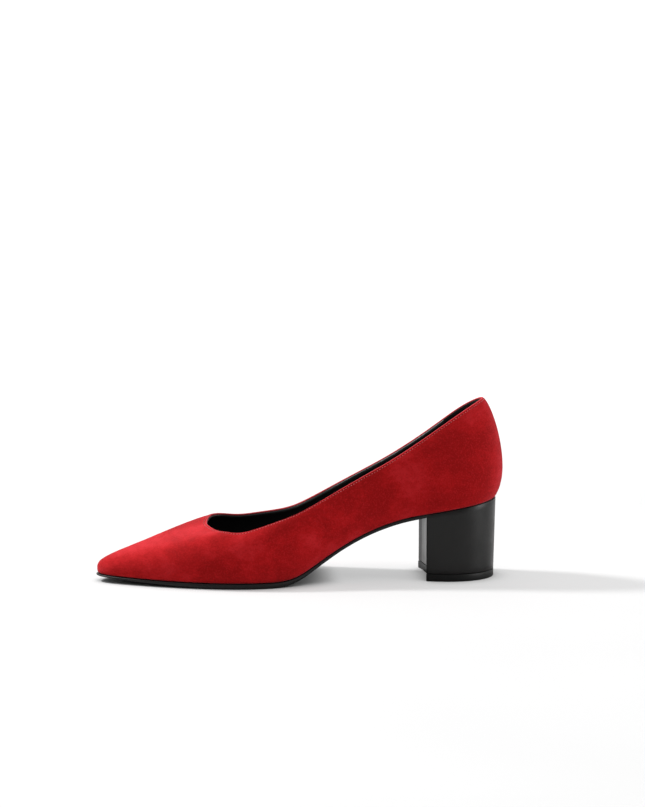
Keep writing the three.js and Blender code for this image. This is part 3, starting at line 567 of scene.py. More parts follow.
def heelSides(inset, lean, sideSteps=14, backSteps=84):
    half, shoulder, length = heel["half"] - inset, heel["shoulder"], heel["length"]
    back = inset + (shoulder - inset) * np.arange(sideSteps) / sideSteps
    side = half - (heel["half"] - heel["breastHalf"]) * (1 - back / shoulder) ** 2
    turn = np.pi * np.arange(backSteps + 1) / backSteps - np.pi / 2
    x = np.concatenate([back, shoulder + (length - shoulder - inset) * np.cos(turn), back[::-1]])
    y = np.concatenate([-side, half * np.sin(turn), side[::-1]])
    return np.stack([heel["breastX"] + x - lean * x / length, heel["y"] + y], -1)


def roundCorner(path, at, radius, steps=7):  # replaces what lies near path[at] by a round
    corner = path[at]
    gap = np.linalg.norm(path - corner, axis=-1)
    before = np.max(np.where((gap > radius) & (np.arange(len(path)) < at))[0])
    after = np.min(np.where((gap > radius) & (np.arange(len(path)) > at))[0])
    enter = corner + (path[before] - corner) * radius / gap[before]
    leave = corner + (path[after] - corner) * radius / gap[after]
    t = np.linspace(0, 1, steps)[:, None]
    arc = enter * (1 - t) ** 2 + 2 * corner * t * (1 - t) + leave * t ** 2
    return np.concatenate([path[:before + 1], arc, path[after:]])


def wrapPath(inset, lean):
    hold = heel["breastHalf"] - heel["return"]
    returnSteps = 9
    radius = max(0.25, heel["corner"] - inset)
    first = breastRun(-hold, -heel["breastHalf"] + inset, returnSteps, inset)[:-1]
    sides = heelSides(inset, lean)
    final = first[::-1] * [1, -1] + [0, 2 * heel["y"]]
    path = np.concatenate([first, sides, final])
    path = roundCorner(path, len(first), radius)
    return roundCorner(path, len(path) - 1 - len(final), radius)


def heelTop(x):  # the cover reaches up round the edge of the sole
    return soleLine(x) - stacked(x, heel["reachUp"])


def heelColumns(pathAt, thickness):
    # Loops round the heel: up the outside, over the rounded top edge, down the inside and under.
    low = pathAt(0, heel["lean"])
    high = pathAt(0, 0)
    lowIn, highIn = pathAt(thickness, heel["lean"]), pathAt(thickness, 0)
    count = min(len(low), len(lowIn))
    loops = []
    for i in range(count):
        def at(share, inset, drop):  # share of the height, share of the thickness, millimetres off the ends
            outer, inner = low[i] + (high[i] - low[i]) * share, lowIn[i] + (highIn[i] - lowIn[i]) * share
            x, y = outer + (inner - outer) * inset
            foot, top = heel["foot"], float(heelTop(x))
            return [x, y, foot + (top - foot) * share + drop]
        e = heel["edge"]
        column = [at(0, e / thickness, 0), at(0, 0.3 * e / thickness, 0.3 * e), at(0, 0, e)]
        column += [at(s, 0, 0) for s in np.linspace(0.08, 0.92, 12)]
        column += [at(1, 0, -e), at(1, 0.3 * e / thickness, -0.3 * e), at(1, e / thickness, 0)]
        column += [at(1, 1, 0)] + [at(s, 1, 0) for s in np.linspace(0.92, 0.08, 12)] + [at(0, 1, 0)]
        loops.append(column)
    return np.array(loops)


print("heel")


def evenPath(path, count):  # the same number of points on every path, spaced as the first one is
    run = np.concatenate([[0], np.cumsum(np.linalg.norm(np.diff(path, axis=0), axis=-1))])
    return np.stack([np.interp(np.linspace(0, run[-1], count), run, path[:, k]) for k in (0, 1)], -1)


def coverPath(inset, lean):
    return evenPath(wrapPath(inset, lean), heel["columns"])


def panelPath(inset, lean):
    half = heel["breastHalf"] - heel["return"] - heel["panelGap"]
    return breastRun(-half, half, 41, inset)


heelCover = loft("heelCover", heelColumns(coverPath, heel["cover"]), False, sharp=45)
heelBreastCover = loft("heelBreastCover", heelColumns(panelPath, heel["cover"]), False, sharp=45)


def topPieceOutline(inset):
    sides = heelSides(inset, heel["lean"])
    breast = breastRun(heel["breastHalf"] - inset, -heel["breastHalf"] + inset, 41, inset)[1:-1]
    path = np.concatenate([sides, breast])
    half = len(breast) // 2
    path = np.roll(path, half, axis=0)
    path = roundCorner(path, half, heel["topCorner"])
    final = int(np.argmax(path[:, 1] + (path[:, 0] < heel["breastX"] + 2) * 40))
    path = roundCorner(path, final, heel["topCorner"])
    closed = np.concatenate([path, path[:1]])
    return evenPath(closed, heel["topColumns"] + 1)[:-1]


def makeTopPiece():
    bevel, height = heel["bevel"], heel["topPiece"]
    levels = [(bevel + 0.5, 0.0), (bevel, 0.0), (bevel * 0.3, bevel * 0.3), (0, bevel), (0, height * 0.5),
              (0, height - 0.25), (0.08, height - 0.08), (0.25, height), (0.9, height)]
    count = heel["topColumns"]
    rings = [np.column_stack([topPieceOutline(inset), np.full(count, z)]) for inset, z in levels]
    points = np.concatenate(rings)
    faces = []
    for level in range(len(levels) - 1):
        for i in range(count):
            j, low, high = (i + 1) % count, level * count, (level + 1) * count
            faces.append((low + i, low + j, high + j, high + i))
    faces.append(tuple(range(count))[::-1])
    faces.append(tuple(range((len(levels) - 1) * count, len(levels) * count)))
    return meshFrom("topPiece", toMetres(points), faces, None, 40)


topPiece = makeTopPiece()


# Topline stitches.
stitch = {"length": 0.95, "pitch": 1.8, "thread": 0.2, "dip": 0.22, "sink": 0.1,
          "setback": upper["stitchSetback"]}


def stitchShape():  # one stitch lying along X, its ends dipping into the suede
    ringsAt, sides = np.linspace(-1, 1, 7), 6
    points, faces = [], []
    for u in ringsAt:
        radius = stitch["thread"] * math.sqrt(max(0.06, 1 - u ** 4)) * (1 + 0.06 * math.cos(9 * u))
        centre = -stitch["dip"] * u ** 4
        for k in range(sides):
            turn = 2 * math.pi * k / sides
            points.append((u * stitch["length"] / 2, radius * math.cos(turn),
                           centre + radius * math.sin(turn)))
    for i in range(len(ringsAt) - 1):
        for k in range(sides):
            m = (k + 1) % sides
            faces.append((i * sides + k, i * sides + m, (i + 1) * sides + m, (i + 1) * sides + k))
    faces += [tuple(range(sides)), tuple(range((len(ringsAt) - 1) * sides, len(ringsAt) * sides))[::-1]]
    return meshFrom("stitchShape", np.array(points) * 0.001, faces, None, 80)


def stitchPath():  # closed curve on the suede, with the outward way kept on each point
    turn = np.arange(520) / 20
    centre, out, _ = onWall(turn, setbackRow(np.array([stitch["setback"]])))
    line = centre[:, 0] + out[:, 0] * (stitch["sink"] - upper["stitchSink"])
    run = np.linalg.norm(np.diff(np.concatenate([line, line[:1]]), axis=0), axis=-1).sum()
    curve = bpy.data.meshes.new("stitchPath")
    edges = [(i, (i + 1) % len(line)) for i in range(len(line))]
    curve.from_pydata(toMetres(line).tolist(), edges, [])
    curve.attributes.new("outward", "FLOAT_VECTOR", "POINT").data.foreach_set("vector", out[:, 0].ravel())
    piece = bpy.data.objects.new("toplineStitches", curve)
    bpy.context.scene.collection.objects.link(piece)
    return piece, run


def rowTree(name, shape, material):
    # Sets one shape along a closed row of points, each standing square to the surface.
    tree = bpy.data.node_groups.new(name, "GeometryNodeTree")
    face = tree.interface
    face.new_socket("Geometry", in_out="INPUT", socket_type="NodeSocketGeometry")
    for label, kind, value in (("Count", "NodeSocketInt", 200), ("Size Spread", "NodeSocketFloat", 0.06),
                               ("Seed", "NodeSocketInt", 4)):
        face.new_socket(label, in_out="INPUT", socket_type=kind).default_value = value
    face.new_socket("Geometry", in_out="OUTPUT", socket_type="NodeSocketGeometry")
    add, link = tree.nodes.new, tree.links.new
    take, give = add("NodeGroupInput"), add("NodeGroupOutput")
    curve, even = add("GeometryNodeMeshToCurve"), add("GeometryNodeResampleCurve")
    link(take.outputs["Geometry"], curve.inputs["Mesh"])
    link(curve.outputs["Curve"], even.inputs["Curve"])
    link(take.outputs["Count"], even.inputs["Count"])
    outward, tangent = add("GeometryNodeInputNamedAttribute"), add("GeometryNodeInputTangent")
    outward.data_type = "FLOAT_VECTOR"
    outward.inputs["Name"].default_value = "outward"
    lie, stand = add("FunctionNodeAlignRotationToVector"), add("FunctionNodeAlignRotationToVector")
    lie.axis, stand.axis, stand.pivot_axis = "X", "Z", "X"
    link(tangent.outputs["Tangent"], lie.inputs["Vector"])
    link(lie.outputs["Rotation"], stand.inputs["Rotation"])
    link(outward.outputs["Attribute"], stand.inputs["Vector"])
    spread = add("FunctionNodeRandomValue")
    spread.data_type = "FLOAT"
    low, high = add("ShaderNodeMath"), add("ShaderNodeMath")
    low.operation, high.operation = "SUBTRACT", "ADD"
    low.inputs[0].default_value = high.inputs[0].default_value = 1
    link(take.outputs["Size Spread"], low.inputs[1])
    link(take.outputs["Size Spread"], high.inputs[1])
    link(low.outputs[0], spread.inputs[2])
    link(high.outputs[0], spread.inputs[3])
    link(take.outputs["Seed"], spread.inputs["Seed"])
    source = add("GeometryNodeObjectInfo")
    source.inputs["Object"].default_value = shape
    put, real, paint = add("GeometryNodeInstanceOnPoints"), add("GeometryNodeRealizeInstances"), \
        add("GeometryNodeSetMaterial")
    link(even.outputs["Curve"], put.inputs["Points"])
    link(source.outputs["Geometry"], put.inputs["Instance"])
    link(stand.outputs["Rotation"], put.inputs["Rotation"])
    link(spread.outputs[1], put.inputs["Scale"])
    link(put.outputs["Instances"], real.inputs["Geometry"])
    link(real.outputs["Geometry"], paint.inputs["Geometry"])
    paint.inputs["Material"].default_value = material
    link(paint.outputs["Geometry"], give.inputs["Geometry"])
    return tree


def madeByNodes(piece, tree, values):  # runs the tree on the piece and keeps a plain mesh
    modifier = piece.modifiers.new("Nodes", "NODES")
    modifier.node_group = tree
    sockets = {item.name: item.identifier for item in tree.interface.items_tree if item.in_out == "INPUT"}
    for label, value in values.items():
        modifier[sockets[label]] = value
    view = bpy.context.evaluated_depsgraph_get()
    view.update()
    plain = bpy.data.meshes.new_from_object(piece.evaluated_get(view))
    piece.modifiers.clear()
    piece.data = plain
    return piece


# Shader groups.
def newGroup(name, inputs, outputs):
    group = bpy.data.node_groups.new(name, "ShaderNodeTree")
    for label, kind, value in inputs:
        socket = group.interface.new_socket(label, in_out="INPUT", socket_type=kind)
        if value is not None:
            socket.default_value = value
    for label, kind in outputs:
        group.interface.new_socket(label, in_out="OUTPUT", socket_type=kind)
    return group, group.nodes.new("NodeGroupInput"), group.nodes.new("NodeGroupOutput")


def noise(tree, vector, scale, detail=2.0, rough=0.5, stretch=None):
    if stretch is not None:
        mapping = tree.nodes.new("ShaderNodeMapping")
        mapping.inputs["Scale"].default_value = stretch
        tree.links.new(vector, mapping.inputs["Vector"])
        vector = mapping.outputs["Vector"]
    node = tree.nodes.new("ShaderNodeTexNoise")
    tree.links.new(vector, node.inputs["Vector"])
    if isinstance(scale, (int, float)):
        node.inputs["Scale"].default_value = scale
    else:
        tree.links.new(scale, node.inputs["Scale"])
    node.inputs["Detail"].default_value = detail
    node.inputs["Roughness"].default_value = rough
    return node.outputs["Fac"]


def math2(tree, operation, a, b=0.0):
    node = tree.nodes.new("ShaderNodeMath")
    node.operation = operation
    for socket, value in zip(node.inputs, (a, b)):
        if isinstance(value, (int, float)):
            socket.default_value = value
        else:
            tree.links.new(value, socket)
    return node.outputs[0]


def remap(tree, value, low, high, newLow=0.0, newHigh=1.0, soft=True):
    node = tree.nodes.new("ShaderNodeMapRange")
    node.interpolation_type = "SMOOTHSTEP" if soft else "LINEAR"
    tree.links.new(value, node.inputs["Value"])
    for socket, figure in zip(("From Min", "From Max", "To Min", "To Max"), (low, high, newLow, newHigh)):
        node.inputs[socket].default_value = figure
    return node.outputs["Result"]


def mixColour(tree, factor, first, second):
    node = tree.nodes.new("ShaderNodeMix")
    node.data_type = "RGBA"
    if isinstance(factor, (int, float)):
        node.inputs[0].default_value = factor
    else:
        tree.links.new(factor, node.inputs[0])
    for index, value in ((6, first), (7, second)):
        if isinstance(value, tuple):
            node.inputs[index].default_value = (*value, 1)
        else:
            tree.links.new(value, node.inputs[index])
    return node.outputs[2]


vectorIn = ("Vector", "NodeSocketVector", None)


def makeNap():  # brushed patches, short fibres and their relief
    tree, take, give = newGroup("napSurface", [vectorIn, ("Patch Scale", "NodeSocketFloat", 40.0),
                                               ("Fibre Scale", "NodeSocketFloat", 2600.0)],
                                [("Patches", "NodeSocketFloat"), ("Flecks", "NodeSocketFloat"),
                                 ("Height", "NodeSocketFloat")])
    vector, patch, fibre = take.outputs["Vector"], take.outputs["Patch Scale"], take.outputs["Fibre Scale"]
    broad = remap(tree, noise(tree, vector, patch, 2.0, 0.5), 0.34, 0.66)
    small = remap(tree, noise(tree, vector, math2(tree, "MULTIPLY", patch, 4.2), 3.0, 0.55), 0.32, 0.7)
    streak = remap(tree, noise(tree, vector, math2(tree, "MULTIPLY", patch, 9.0), 2.0, 0.5, (1, 0.45, 1.6)),
                   0.36, 0.66)
    mixed = math2(tree, "ADD", math2(tree, "MULTIPLY", broad, 0.62), math2(tree, "MULTIPLY", small, 0.18))
    tree.links.new(math2(tree, "ADD", mixed, math2(tree, "MULTIPLY", streak, 0.2)), give.inputs["Patches"])
    fleck = remap(tree, noise(tree, vector, math2(tree, "MULTIPLY", fibre, 0.42), 4.0, 0.7), 0.3, 0.72)
    tree.links.new(fleck, give.inputs["Flecks"])
    hairs = noise(tree, vector, fibre, 3.0, 0.65)
    height = math2(tree, "ADD", math2(tree, "MULTIPLY", hairs, 0.6), math2(tree, "MULTIPLY", fleck, 0.4))
    tree.links.new(height, give.inputs["Height"])
    return tree


def makeGrain():  # pebbled leather: cells, their creases and pores
    tree, take, give = newGroup("leatherGrain", [vectorIn, ("Scale", "NodeSocketFloat", 1500.0)],
                                [("Shade", "NodeSocketFloat"), ("Wear", "NodeSocketFloat"),
                                 ("Height", "NodeSocketFloat")])
    vector, scale = take.outputs["Vector"], take.outputs["Scale"]
    cells = tree.nodes.new("ShaderNodeTexVoronoi")
    cells.feature = "SMOOTH_F1"
    tree.links.new(vector, cells.inputs["Vector"])
    tree.links.new(scale, cells.inputs["Scale"])
    cells.inputs["Randomness"].default_value = 1.0
    cells.inputs["Smoothness"].default_value = 0.4
    pores = noise(tree, vector, math2(tree, "MULTIPLY", scale, 2.6), 2.0, 0.6)
    slow = noise(tree, vector, math2(tree, "MULTIPLY", scale, 0.045), 3.0, 0.5)
    dome = math2(tree, "SUBTRACT", 1.0, cells.outputs["Distance"])
    height = math2(tree, "ADD", math2(tree, "MULTIPLY", dome, 0.7), math2(tree, "MULTIPLY", pores, 0.3))
    tree.links.new(height, give.inputs["Height"])
    # Shade is a painted shade mask, low in the creases between the cells.
    tree.links.new(remap(tree, dome, 0.35, 0.9), give.inputs["Shade"])
    tree.links.new(remap(tree, slow, 0.38, 0.66), give.inputs["Wear"])
    return tree


def makeWeave():  # plain weave, over and under
    tree, take, give = newGroup("plainWeave", [vectorIn, ("Scale", "NodeSocketFloat", 1200.0)],
                                [("Threads", "NodeSocketFloat"), ("Height", "NodeSocketFloat")])
    bands = []
    for way in ("X", "Z"):
        wave = tree.nodes.new("ShaderNodeTexWave")
        wave.bands_direction = way
        tree.links.new(take.outputs["Vector"], wave.inputs["Vector"])
        tree.links.new(take.outputs["Scale"], wave.inputs["Scale"])
        wave.inputs["Distortion"].default_value = 0.6
        bands.append(wave.outputs["Fac"])
    checker = tree.nodes.new("ShaderNodeTexChecker")
    tree.links.new(take.outputs["Vector"], checker.inputs["Vector"])
    tree.links.new(math2(tree, "MULTIPLY", take.outputs["Scale"], 0.6366), checker.inputs["Scale"])
    node = tree.nodes.new("ShaderNodeMix")
    tree.links.new(checker.outputs["Fac"], node.inputs[0])
    tree.links.new(bands[0], node.inputs[2])
    tree.links.new(bands[1], node.inputs[3])
    tree.links.new(node.outputs[0], give.inputs["Height"])
    crossed = math2(tree, "MULTIPLY", bands[0], bands[1])
    tree.links.new(remap(tree, crossed, 0.05, 0.6), give.inputs["Threads"])
    return tree


def makeSpeckle():  # granules of cork, fibres of board, cells of foam
    tree, take, give = newGroup("speckle", [vectorIn, ("Scale", "NodeSocketFloat", 700.0)],
                                [("Grains", "NodeSocketFloat"), ("Dark", "NodeSocketFloat"),
                                 ("Height", "NodeSocketFloat")])
    cells = tree.nodes.new("ShaderNodeTexVoronoi")
    tree.links.new(take.outputs["Vector"], cells.inputs["Vector"])
    tree.links.new(take.outputs["Scale"], cells.inputs["Scale"])
    tone = tree.nodes.new("ShaderNodeSeparateColor")
    tree.links.new(cells.outputs["Color"], tone.inputs[0])
    tree.links.new(tone.outputs[0], give.inputs["Grains"])
    fine = noise(tree, take.outputs["Vector"], math2(tree, "MULTIPLY", take.outputs["Scale"], 1.7), 3.0, 0.6)
    tree.links.new(remap(tree, fine, 0.55, 0.72), give.inputs["Dark"])
    tree.links.new(math2(tree, "SUBTRACT", fine, math2(tree, "MULTIPLY", cells.outputs["Distance"], 0.5)),
                   give.inputs["Height"])
    return tree


def makeBrushed():  # fine lines along one way, and duller spots
    tree, take, give = newGroup("brushedLines", [vectorIn, ("Scale", "NodeSocketFloat", 900.0)],
                                [("Lines", "NodeSocketFloat"), ("Spots", "NodeSocketFloat")])
    lines = noise(tree, take.outputs["Vector"], take.outputs["Scale"], 3.0, 0.6, (0.08, 1, 1))
    wider = math2(tree, "MULTIPLY", take.outputs["Scale"], 0.25)
    spots = noise(tree, take.outputs["Vector"], wider, 3.0, 0.6)
    tree.links.new(lines, give.inputs["Lines"])
    tree.links.new(remap(tree, spots, 0.5, 0.7), give.inputs["Spots"])
    return tree


print("materials")
napGroup, grainGroup, weaveGroup, speckleGroup, brushedGroup = \
    makeNap(), makeGrain(), makeWeave(), makeSpeckle(), makeBrushed()


def newMaterial(name, sockets):
    material = bpy.data.materials.new(name)
    material.use_nodes = True
    tree = material.node_tree
    shader = tree.nodes["Principled BSDF"]
    for label, value in sockets.items():
        shader.inputs[label].default_value = value
    where = tree.nodes.new("ShaderNodeTexCoord")
    return material, tree, shader, where


def placeGroup(tree, group, vector, **values):
    node = tree.nodes.new("ShaderNodeGroup")
    node.node_tree = group
    tree.links.new(vector, node.inputs["Vector"])
    for label, value in values.items():
        node.inputs[label.replace("_", " ")].default_value = value
    return node.outputs


def setBump(tree, shader, height, distance, strength):
    node = tree.nodes.new("ShaderNodeBump")
    node.inputs["Strength"].default_value = strength
    node.inputs["Distance"].default_value = distance
    tree.links.new(height, node.inputs["Height"])
    tree.links.new(node.outputs["Normal"], shader.inputs["Normal"])


# The edge colour is a painted highlight, laid along the folded topline.
suedeLook = {"deep": (0.285, 0.0042, 0.0042), "mid": (0.385, 0.0062, 0.007), "light": (0.475, 0.0135, 0.017),
             "edge": (0.60, 0.075, 0.085), "patchScale": 27, "fibreScale": 2600, "sheen": 0.22,
             "holePitch": stitch["pitch"], "setback": stitch["setback"], "relief": 0.00016}


def makeSuede():
    look = suedeLook
    material, tree, shader, where = newMaterial("crimsonSuede", {
        "Roughness": 0.95, "Specular IOR Level": 0.04, "Sheen Weight": look["sheen"], "Sheen Roughness": 0.5,
        "Sheen Tint": (1.0, 0.34, 0.42, 1)})
    nap = placeGroup(tree, napGroup, where.outputs["Object"], Patch_Scale=look["patchScale"],
                     Fibre_Scale=look["fibreScale"])
    ground = mixColour(tree, remap(tree, nap["Patches"], 0.12, 0.62), look["deep"], look["mid"])
    lit = mixColour(tree, remap(tree, nap["Patches"], 0.5, 0.95), ground, look["light"])
    flecked = mixColour(tree, remap(tree, nap["Flecks"], 0.4, 1.0, 0.0, 0.6), lit, look["light"])
    shaded = mixColour(tree, remap(tree, nap["Flecks"], 0.0, 0.4, 0.55, 0.0), flecked, look["deep"])
    # Painted highlight: the fold of the topline is laid lighter red where light catches it. Painted shade: the
    # holes between its stitches are darkened.
    split = tree.nodes.new("ShaderNodeSeparateXYZ")
    tree.links.new(where.outputs["UV"], split.inputs[0])
    run, down = split.outputs[0], split.outputs[1]
    fold = remap(tree, down, 0.0002, 0.0007, 0.7, 0.0)
    foldHighlightPainted = mixColour(tree, fold, shaded, look["edge"])
    beside = math2(tree, "ABSOLUTE", math2(tree, "SUBTRACT", down, look["setback"] * 0.001))
    band = remap(tree, beside, 0.00015, 0.00045, 1.0, 0.0)
    beat = math2(tree, "ABSOLUTE", math2(tree, "SUBTRACT", math2(
        tree, "FRACT", math2(tree, "DIVIDE", run, look["holePitch"] * 0.001)), 0.5))
    hole = math2(tree, "MULTIPLY", band, remap(tree, beat, 0.24, 0.38))
    # Painted shade: the holes between the stitches are laid almost black.
    holesShadePainted = mixColour(tree, math2(tree, "MULTIPLY", hole, 0.95), foldHighlightPainted, (0.03, 0.001, 0.0015))
    tree.links.new(holesShadePainted, shader.inputs["Base Color"])
    height = math2(tree, "SUBTRACT", nap["Height"], math2(tree, "MULTIPLY", hole, 1.2))
    setBump(tree, shader, height, look["relief"], 0.75)
    return material


def leather(name, dark, light, scale, rough, relief, extra=None):
    material, tree, shader, where = newMaterial(name, {"Roughness": rough[0], "Specular IOR Level": 0.45,
                                                       **(extra or {})})
    grain = placeGroup(tree, grainGroup, where.outputs["Object"], Scale=scale)
    colour = mixColour(tree, grain["Wear"], dark, light)
    # Painted shade: the creases between the grain cells are darkened a quarter of the way to the dark colour.
    tree.links.new(mixColour(tree, remap(tree, grain["Shade"], 0, 1, 0.25, 0.0), colour, dark),
                   shader.inputs["Base Color"])
    tree.links.new(remap(tree, grain["Wear"], 0, 1, rough[0], rough[1], False), shader.inputs["Roughness"])
    setBump(tree, shader, grain["Height"], relief, 0.6)
    return material


def fuzzy(name, dark, light, patchScale, fibreScale, rough, relief, sheen=0.0):
    material, tree, shader, where = newMaterial(name, {"Roughness": rough, "Sheen Weight": sheen,
                                                       "Specular IOR Level": 0.2})
    nap = placeGroup(tree, napGroup, where.outputs["Object"], Patch_Scale=patchScale, Fibre_Scale=fibreScale)
    base = mixColour(tree, nap["Patches"], dark, light)
    tree.links.new(mixColour(tree, remap(tree, nap["Flecks"], 0.2, 1, 0, 0.4), base, light),
                   shader.inputs["Base Color"])
    setBump(tree, shader, nap["Height"], relief, 0.7)
    return material


def woven(name, dark, light, scale):
    material, tree, shader, where = newMaterial(name, {"Roughness": 0.9, "Specular IOR Level": 0.2})
    cloth = placeGroup(tree, weaveGroup, where.outputs["Object"], Scale=scale)
    tree.links.new(mixColour(tree, cloth["Threads"], dark, light), shader.inputs["Base Color"])
    setBump(tree, shader, cloth["Height"], 0.0001, 0.8)
    return material


def granular(name, dark, light, spot, scale, rough, relief):
    material, tree, shader, where = newMaterial(name, {"Roughness": rough, "Specular IOR Level": 0.25})
    grains = placeGroup(tree, speckleGroup, where.outputs["Object"], Scale=scale)
    base = mixColour(tree, grains["Grains"], dark, light)
    tree.links.new(mixColour(tree, math2(tree, "MULTIPLY", grains["Dark"], 0.7), base, spot),
                   shader.inputs["Base Color"])
    setBump(tree, shader, grains["Height"], relief, 0.7)
    return material


def metal(name, dark, light, rough):
    material, tree, shader, where = newMaterial(name, {"Metallic": 1.0, "Roughness": rough})
    lines = placeGroup(tree, brushedGroup, where.outputs["Object"], Scale=900.0)
    tree.links.new(mixColour(tree, lines["Lines"], dark, light), shader.inputs["Base Color"])
    tree.links.new(remap(tree, lines["Spots"], 0, 1, rough, rough + 0.2, False), shader.inputs["Roughness"])
    setBump(tree, shader, lines["Lines"], 0.00002, 0.5)
    return material


def makeThread():
    material, tree, shader, where = newMaterial("crimsonThread", {
        "Roughness": 0.6, "Specular IOR Level": 0.35, "Sheen Weight": 0.2})
    twist = tree.nodes.new("ShaderNodeTexWave")
    twist.bands_direction = "DIAGONAL"
    tree.links.new(where.outputs["Object"], twist.inputs["Vector"])
    twist.inputs["Scale"].default_value = 900.0
    twist.inputs["Distortion"].default_value = 1.5
    tree.links.new(mixColour(tree, twist.outputs["Fac"], (0.40, 0.035, 0.04), (0.68, 0.13, 0.14)),
                   shader.inputs["Base Color"])
    setBump(tree, shader, twist.outputs["Fac"], 0.00005, 0.6)
    return material


crimsonSuede, crimsonThread = makeSuede(), makeThread()
materialOf = {
    "lining_leather": leather("blackLiningLeather", (0.004, 0.004, 0.004), (0.010, 0.009, 0.009), 1400,
                              (0.55, 0.42), 0.00006),
    "grip_suede": fuzzy("blackGripSuede", (0.004, 0.0035, 0.0035), (0.012, 0.010, 0.010), 60, 2400,
                        0.95, 0.00012, 0.05),
    "sock_leather": leather("blackSockLeather", (0.005, 0.005, 0.005), (0.010, 0.0095, 0.0095), 1100,
                            (0.72, 0.6), 0.00009, {"Specular IOR Level": 0.28}),
    "stiffener": granular("stiffenerSheet", (0.62, 0.56, 0.44), (0.74, 0.69, 0.58), (0.5, 0.44, 0.33),
                          900, 0.8, 0.00006),
    "cloth": woven("reinforcingCloth", (0.55, 0.52, 0.47), (0.80, 0.77, 0.71), 1100),
    "foam": granular("latexFoam", (0.70, 0.60, 0.26), (0.83, 0.75, 0.42), (0.55, 0.44, 0.17), 1500,
                     0.9, 0.00012),
    "cork": granular("corkFiller", (0.25, 0.13, 0.055), (0.45, 0.27, 0.13), (0.10, 0.045, 0.02), 650,
                     0.95, 0.0002),
    "board": granular("fibreBoard", (0.34, 0.21, 0.10), (0.46, 0.31, 0.16), (0.24, 0.14, 0.06), 1300,
                      0.9, 0.00008),
    "steel": metal("springSteel", (0.42, 0.43, 0.44), (0.62, 0.63, 0.65), 0.32),
    "heel_plastic": granular("mouldedPlastic", (0.22, 0.20, 0.17), (0.30, 0.275, 0.24), (0.17, 0.15, 0.13),
                             400, 0.5, 0.00003),
    "heel_leather": leather("blackHeelLeather", (0.0045, 0.0043, 0.004), (0.007, 0.0066, 0.0062), 1900,
                            (0.34, 0.42), 0.00006, {"Specular IOR Level": 0.32}),
    # Painted reflection: the breast cover's black leather gets a base colour about three times paler than the
    # heel cover's, for the floor and light it reflects.
    "breast_leather": leather("breastLeatherPaintedPaler", (0.016, 0.0155, 0.015), (0.024, 0.0235, 0.0225), 1700,
                              (0.28, 0.36), 0.00005, {"Specular IOR Level": 0.6}),
    "thread": crimsonThread,
    "suede": crimsonSuede,
}


def makeSoleMaterial():
    material, tree, shader, where = newMaterial("blackSole", {"Roughness": 0.5, "Specular IOR Level": 0.28})
    grains = placeGroup(tree, speckleGroup, where.outputs["Object"], Scale=900.0)
    base = mixColour(tree, grains["Grains"], (0.004, 0.004, 0.004), (0.008, 0.008, 0.0078))
    split = tree.nodes.new("ShaderNodeSeparateXYZ")
    tree.links.new(where.outputs["Object"], split.inputs[0])
    scuff = math2(tree, "MULTIPLY", remap(tree, split.outputs[2], 0.0, 0.0012, 1.0, 0.0),
                  remap(tree, noise(tree, where.outputs["Object"], 260.0, 4.0, 0.7, (1, 0.5, 1)), 0.5, 0.75))
    tree.links.new(mixColour(tree, math2(tree, "MULTIPLY", scuff, 0.5), base, (0.07, 0.068, 0.064)),
                   shader.inputs["Base Color"])
    tree.links.new(remap(tree, scuff, 0, 1, 0.46, 0.75, False), shader.inputs["Roughness"])
    setBump(tree, shader, grains["Height"], 0.00006, 0.6)
    return material


def makeTopRubber():
    material, tree, shader, where = newMaterial("blackTopRubber", {"Roughness": 0.5,
                                                                 "Specular IOR Level": 0.25})
    grains = placeGroup(tree, speckleGroup, where.outputs["Object"], Scale=1100.0)
    tree.links.new(mixColour(tree, grains["Grains"], (0.002, 0.002, 0.002), (0.005, 0.005, 0.0048)),
                   shader.inputs["Base Color"])
    tree.links.new(remap(tree, grains["Dark"], 0, 1, 0.45, 0.62, False), shader.inputs["Roughness"])
    setBump(tree, shader, grains["Height"], 0.00005, 0.6)
    return material


materialOf["sole"], materialOf["top_rubber"] = makeSoleMaterial(), makeTopRubber()

print("stitches")
shape = stitchShape()
toplineStitches, toplineLength = stitchPath()
tree = rowTree("stitchRow", shape, crimsonThread)
madeByNodes(toplineStitches, tree, {"Count": int(round(toplineLength / stitch["pitch"])), "Size Spread": 0.05,
                                    "Seed": 4})
bpy.data.objects.remove(shape)


# What each piece stands for.
def settle(piece, node, slotName):
    piece.data.materials.clear()
    piece.data.materials.append(materialOf[slotName])
    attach(piece, "root")
    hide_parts(node)


settle(suedeUpper, "suede_upper", "suede")
for name, (_, _, _, _, node, slotName) in wallPieces.items():
    settle(made[name], node, slotName)
settle(outsole, "outsole", "sole")
settle(sockLining, "sock_lining", "sock_leather")
settle(ballCushion, "ball_cushion", "foam")
settle(heelCushion, "heel_cushion", "foam")
settle(heelCover, "heel_cover", "heel_leather")
settle(heelBreastCover, "heel_breast_cover", "breast_leather")
settle(topPiece, "top_piece", "top_rubber")
settle(toplineStitches, "topline_stitching", "thread")

keptNodes = {"heel_block": "heel_plastic", "insole_board": "board", "forefoot_filler": "cork",
             "steel_shank": "steel", "shank_rivet_front": "steel", "shank_rivet_rear": "steel",
             "heel_screw": "steel"}
keptNodes.update({f"{kind}_{i}": "steel" for kind in ("top_piece_pin", "heel_nail") for i in range(1, 5)})
for node, slotName in keptNodes.items():
    for held in nodes[node].material_slots:
        held.material = materialOf[slotName]


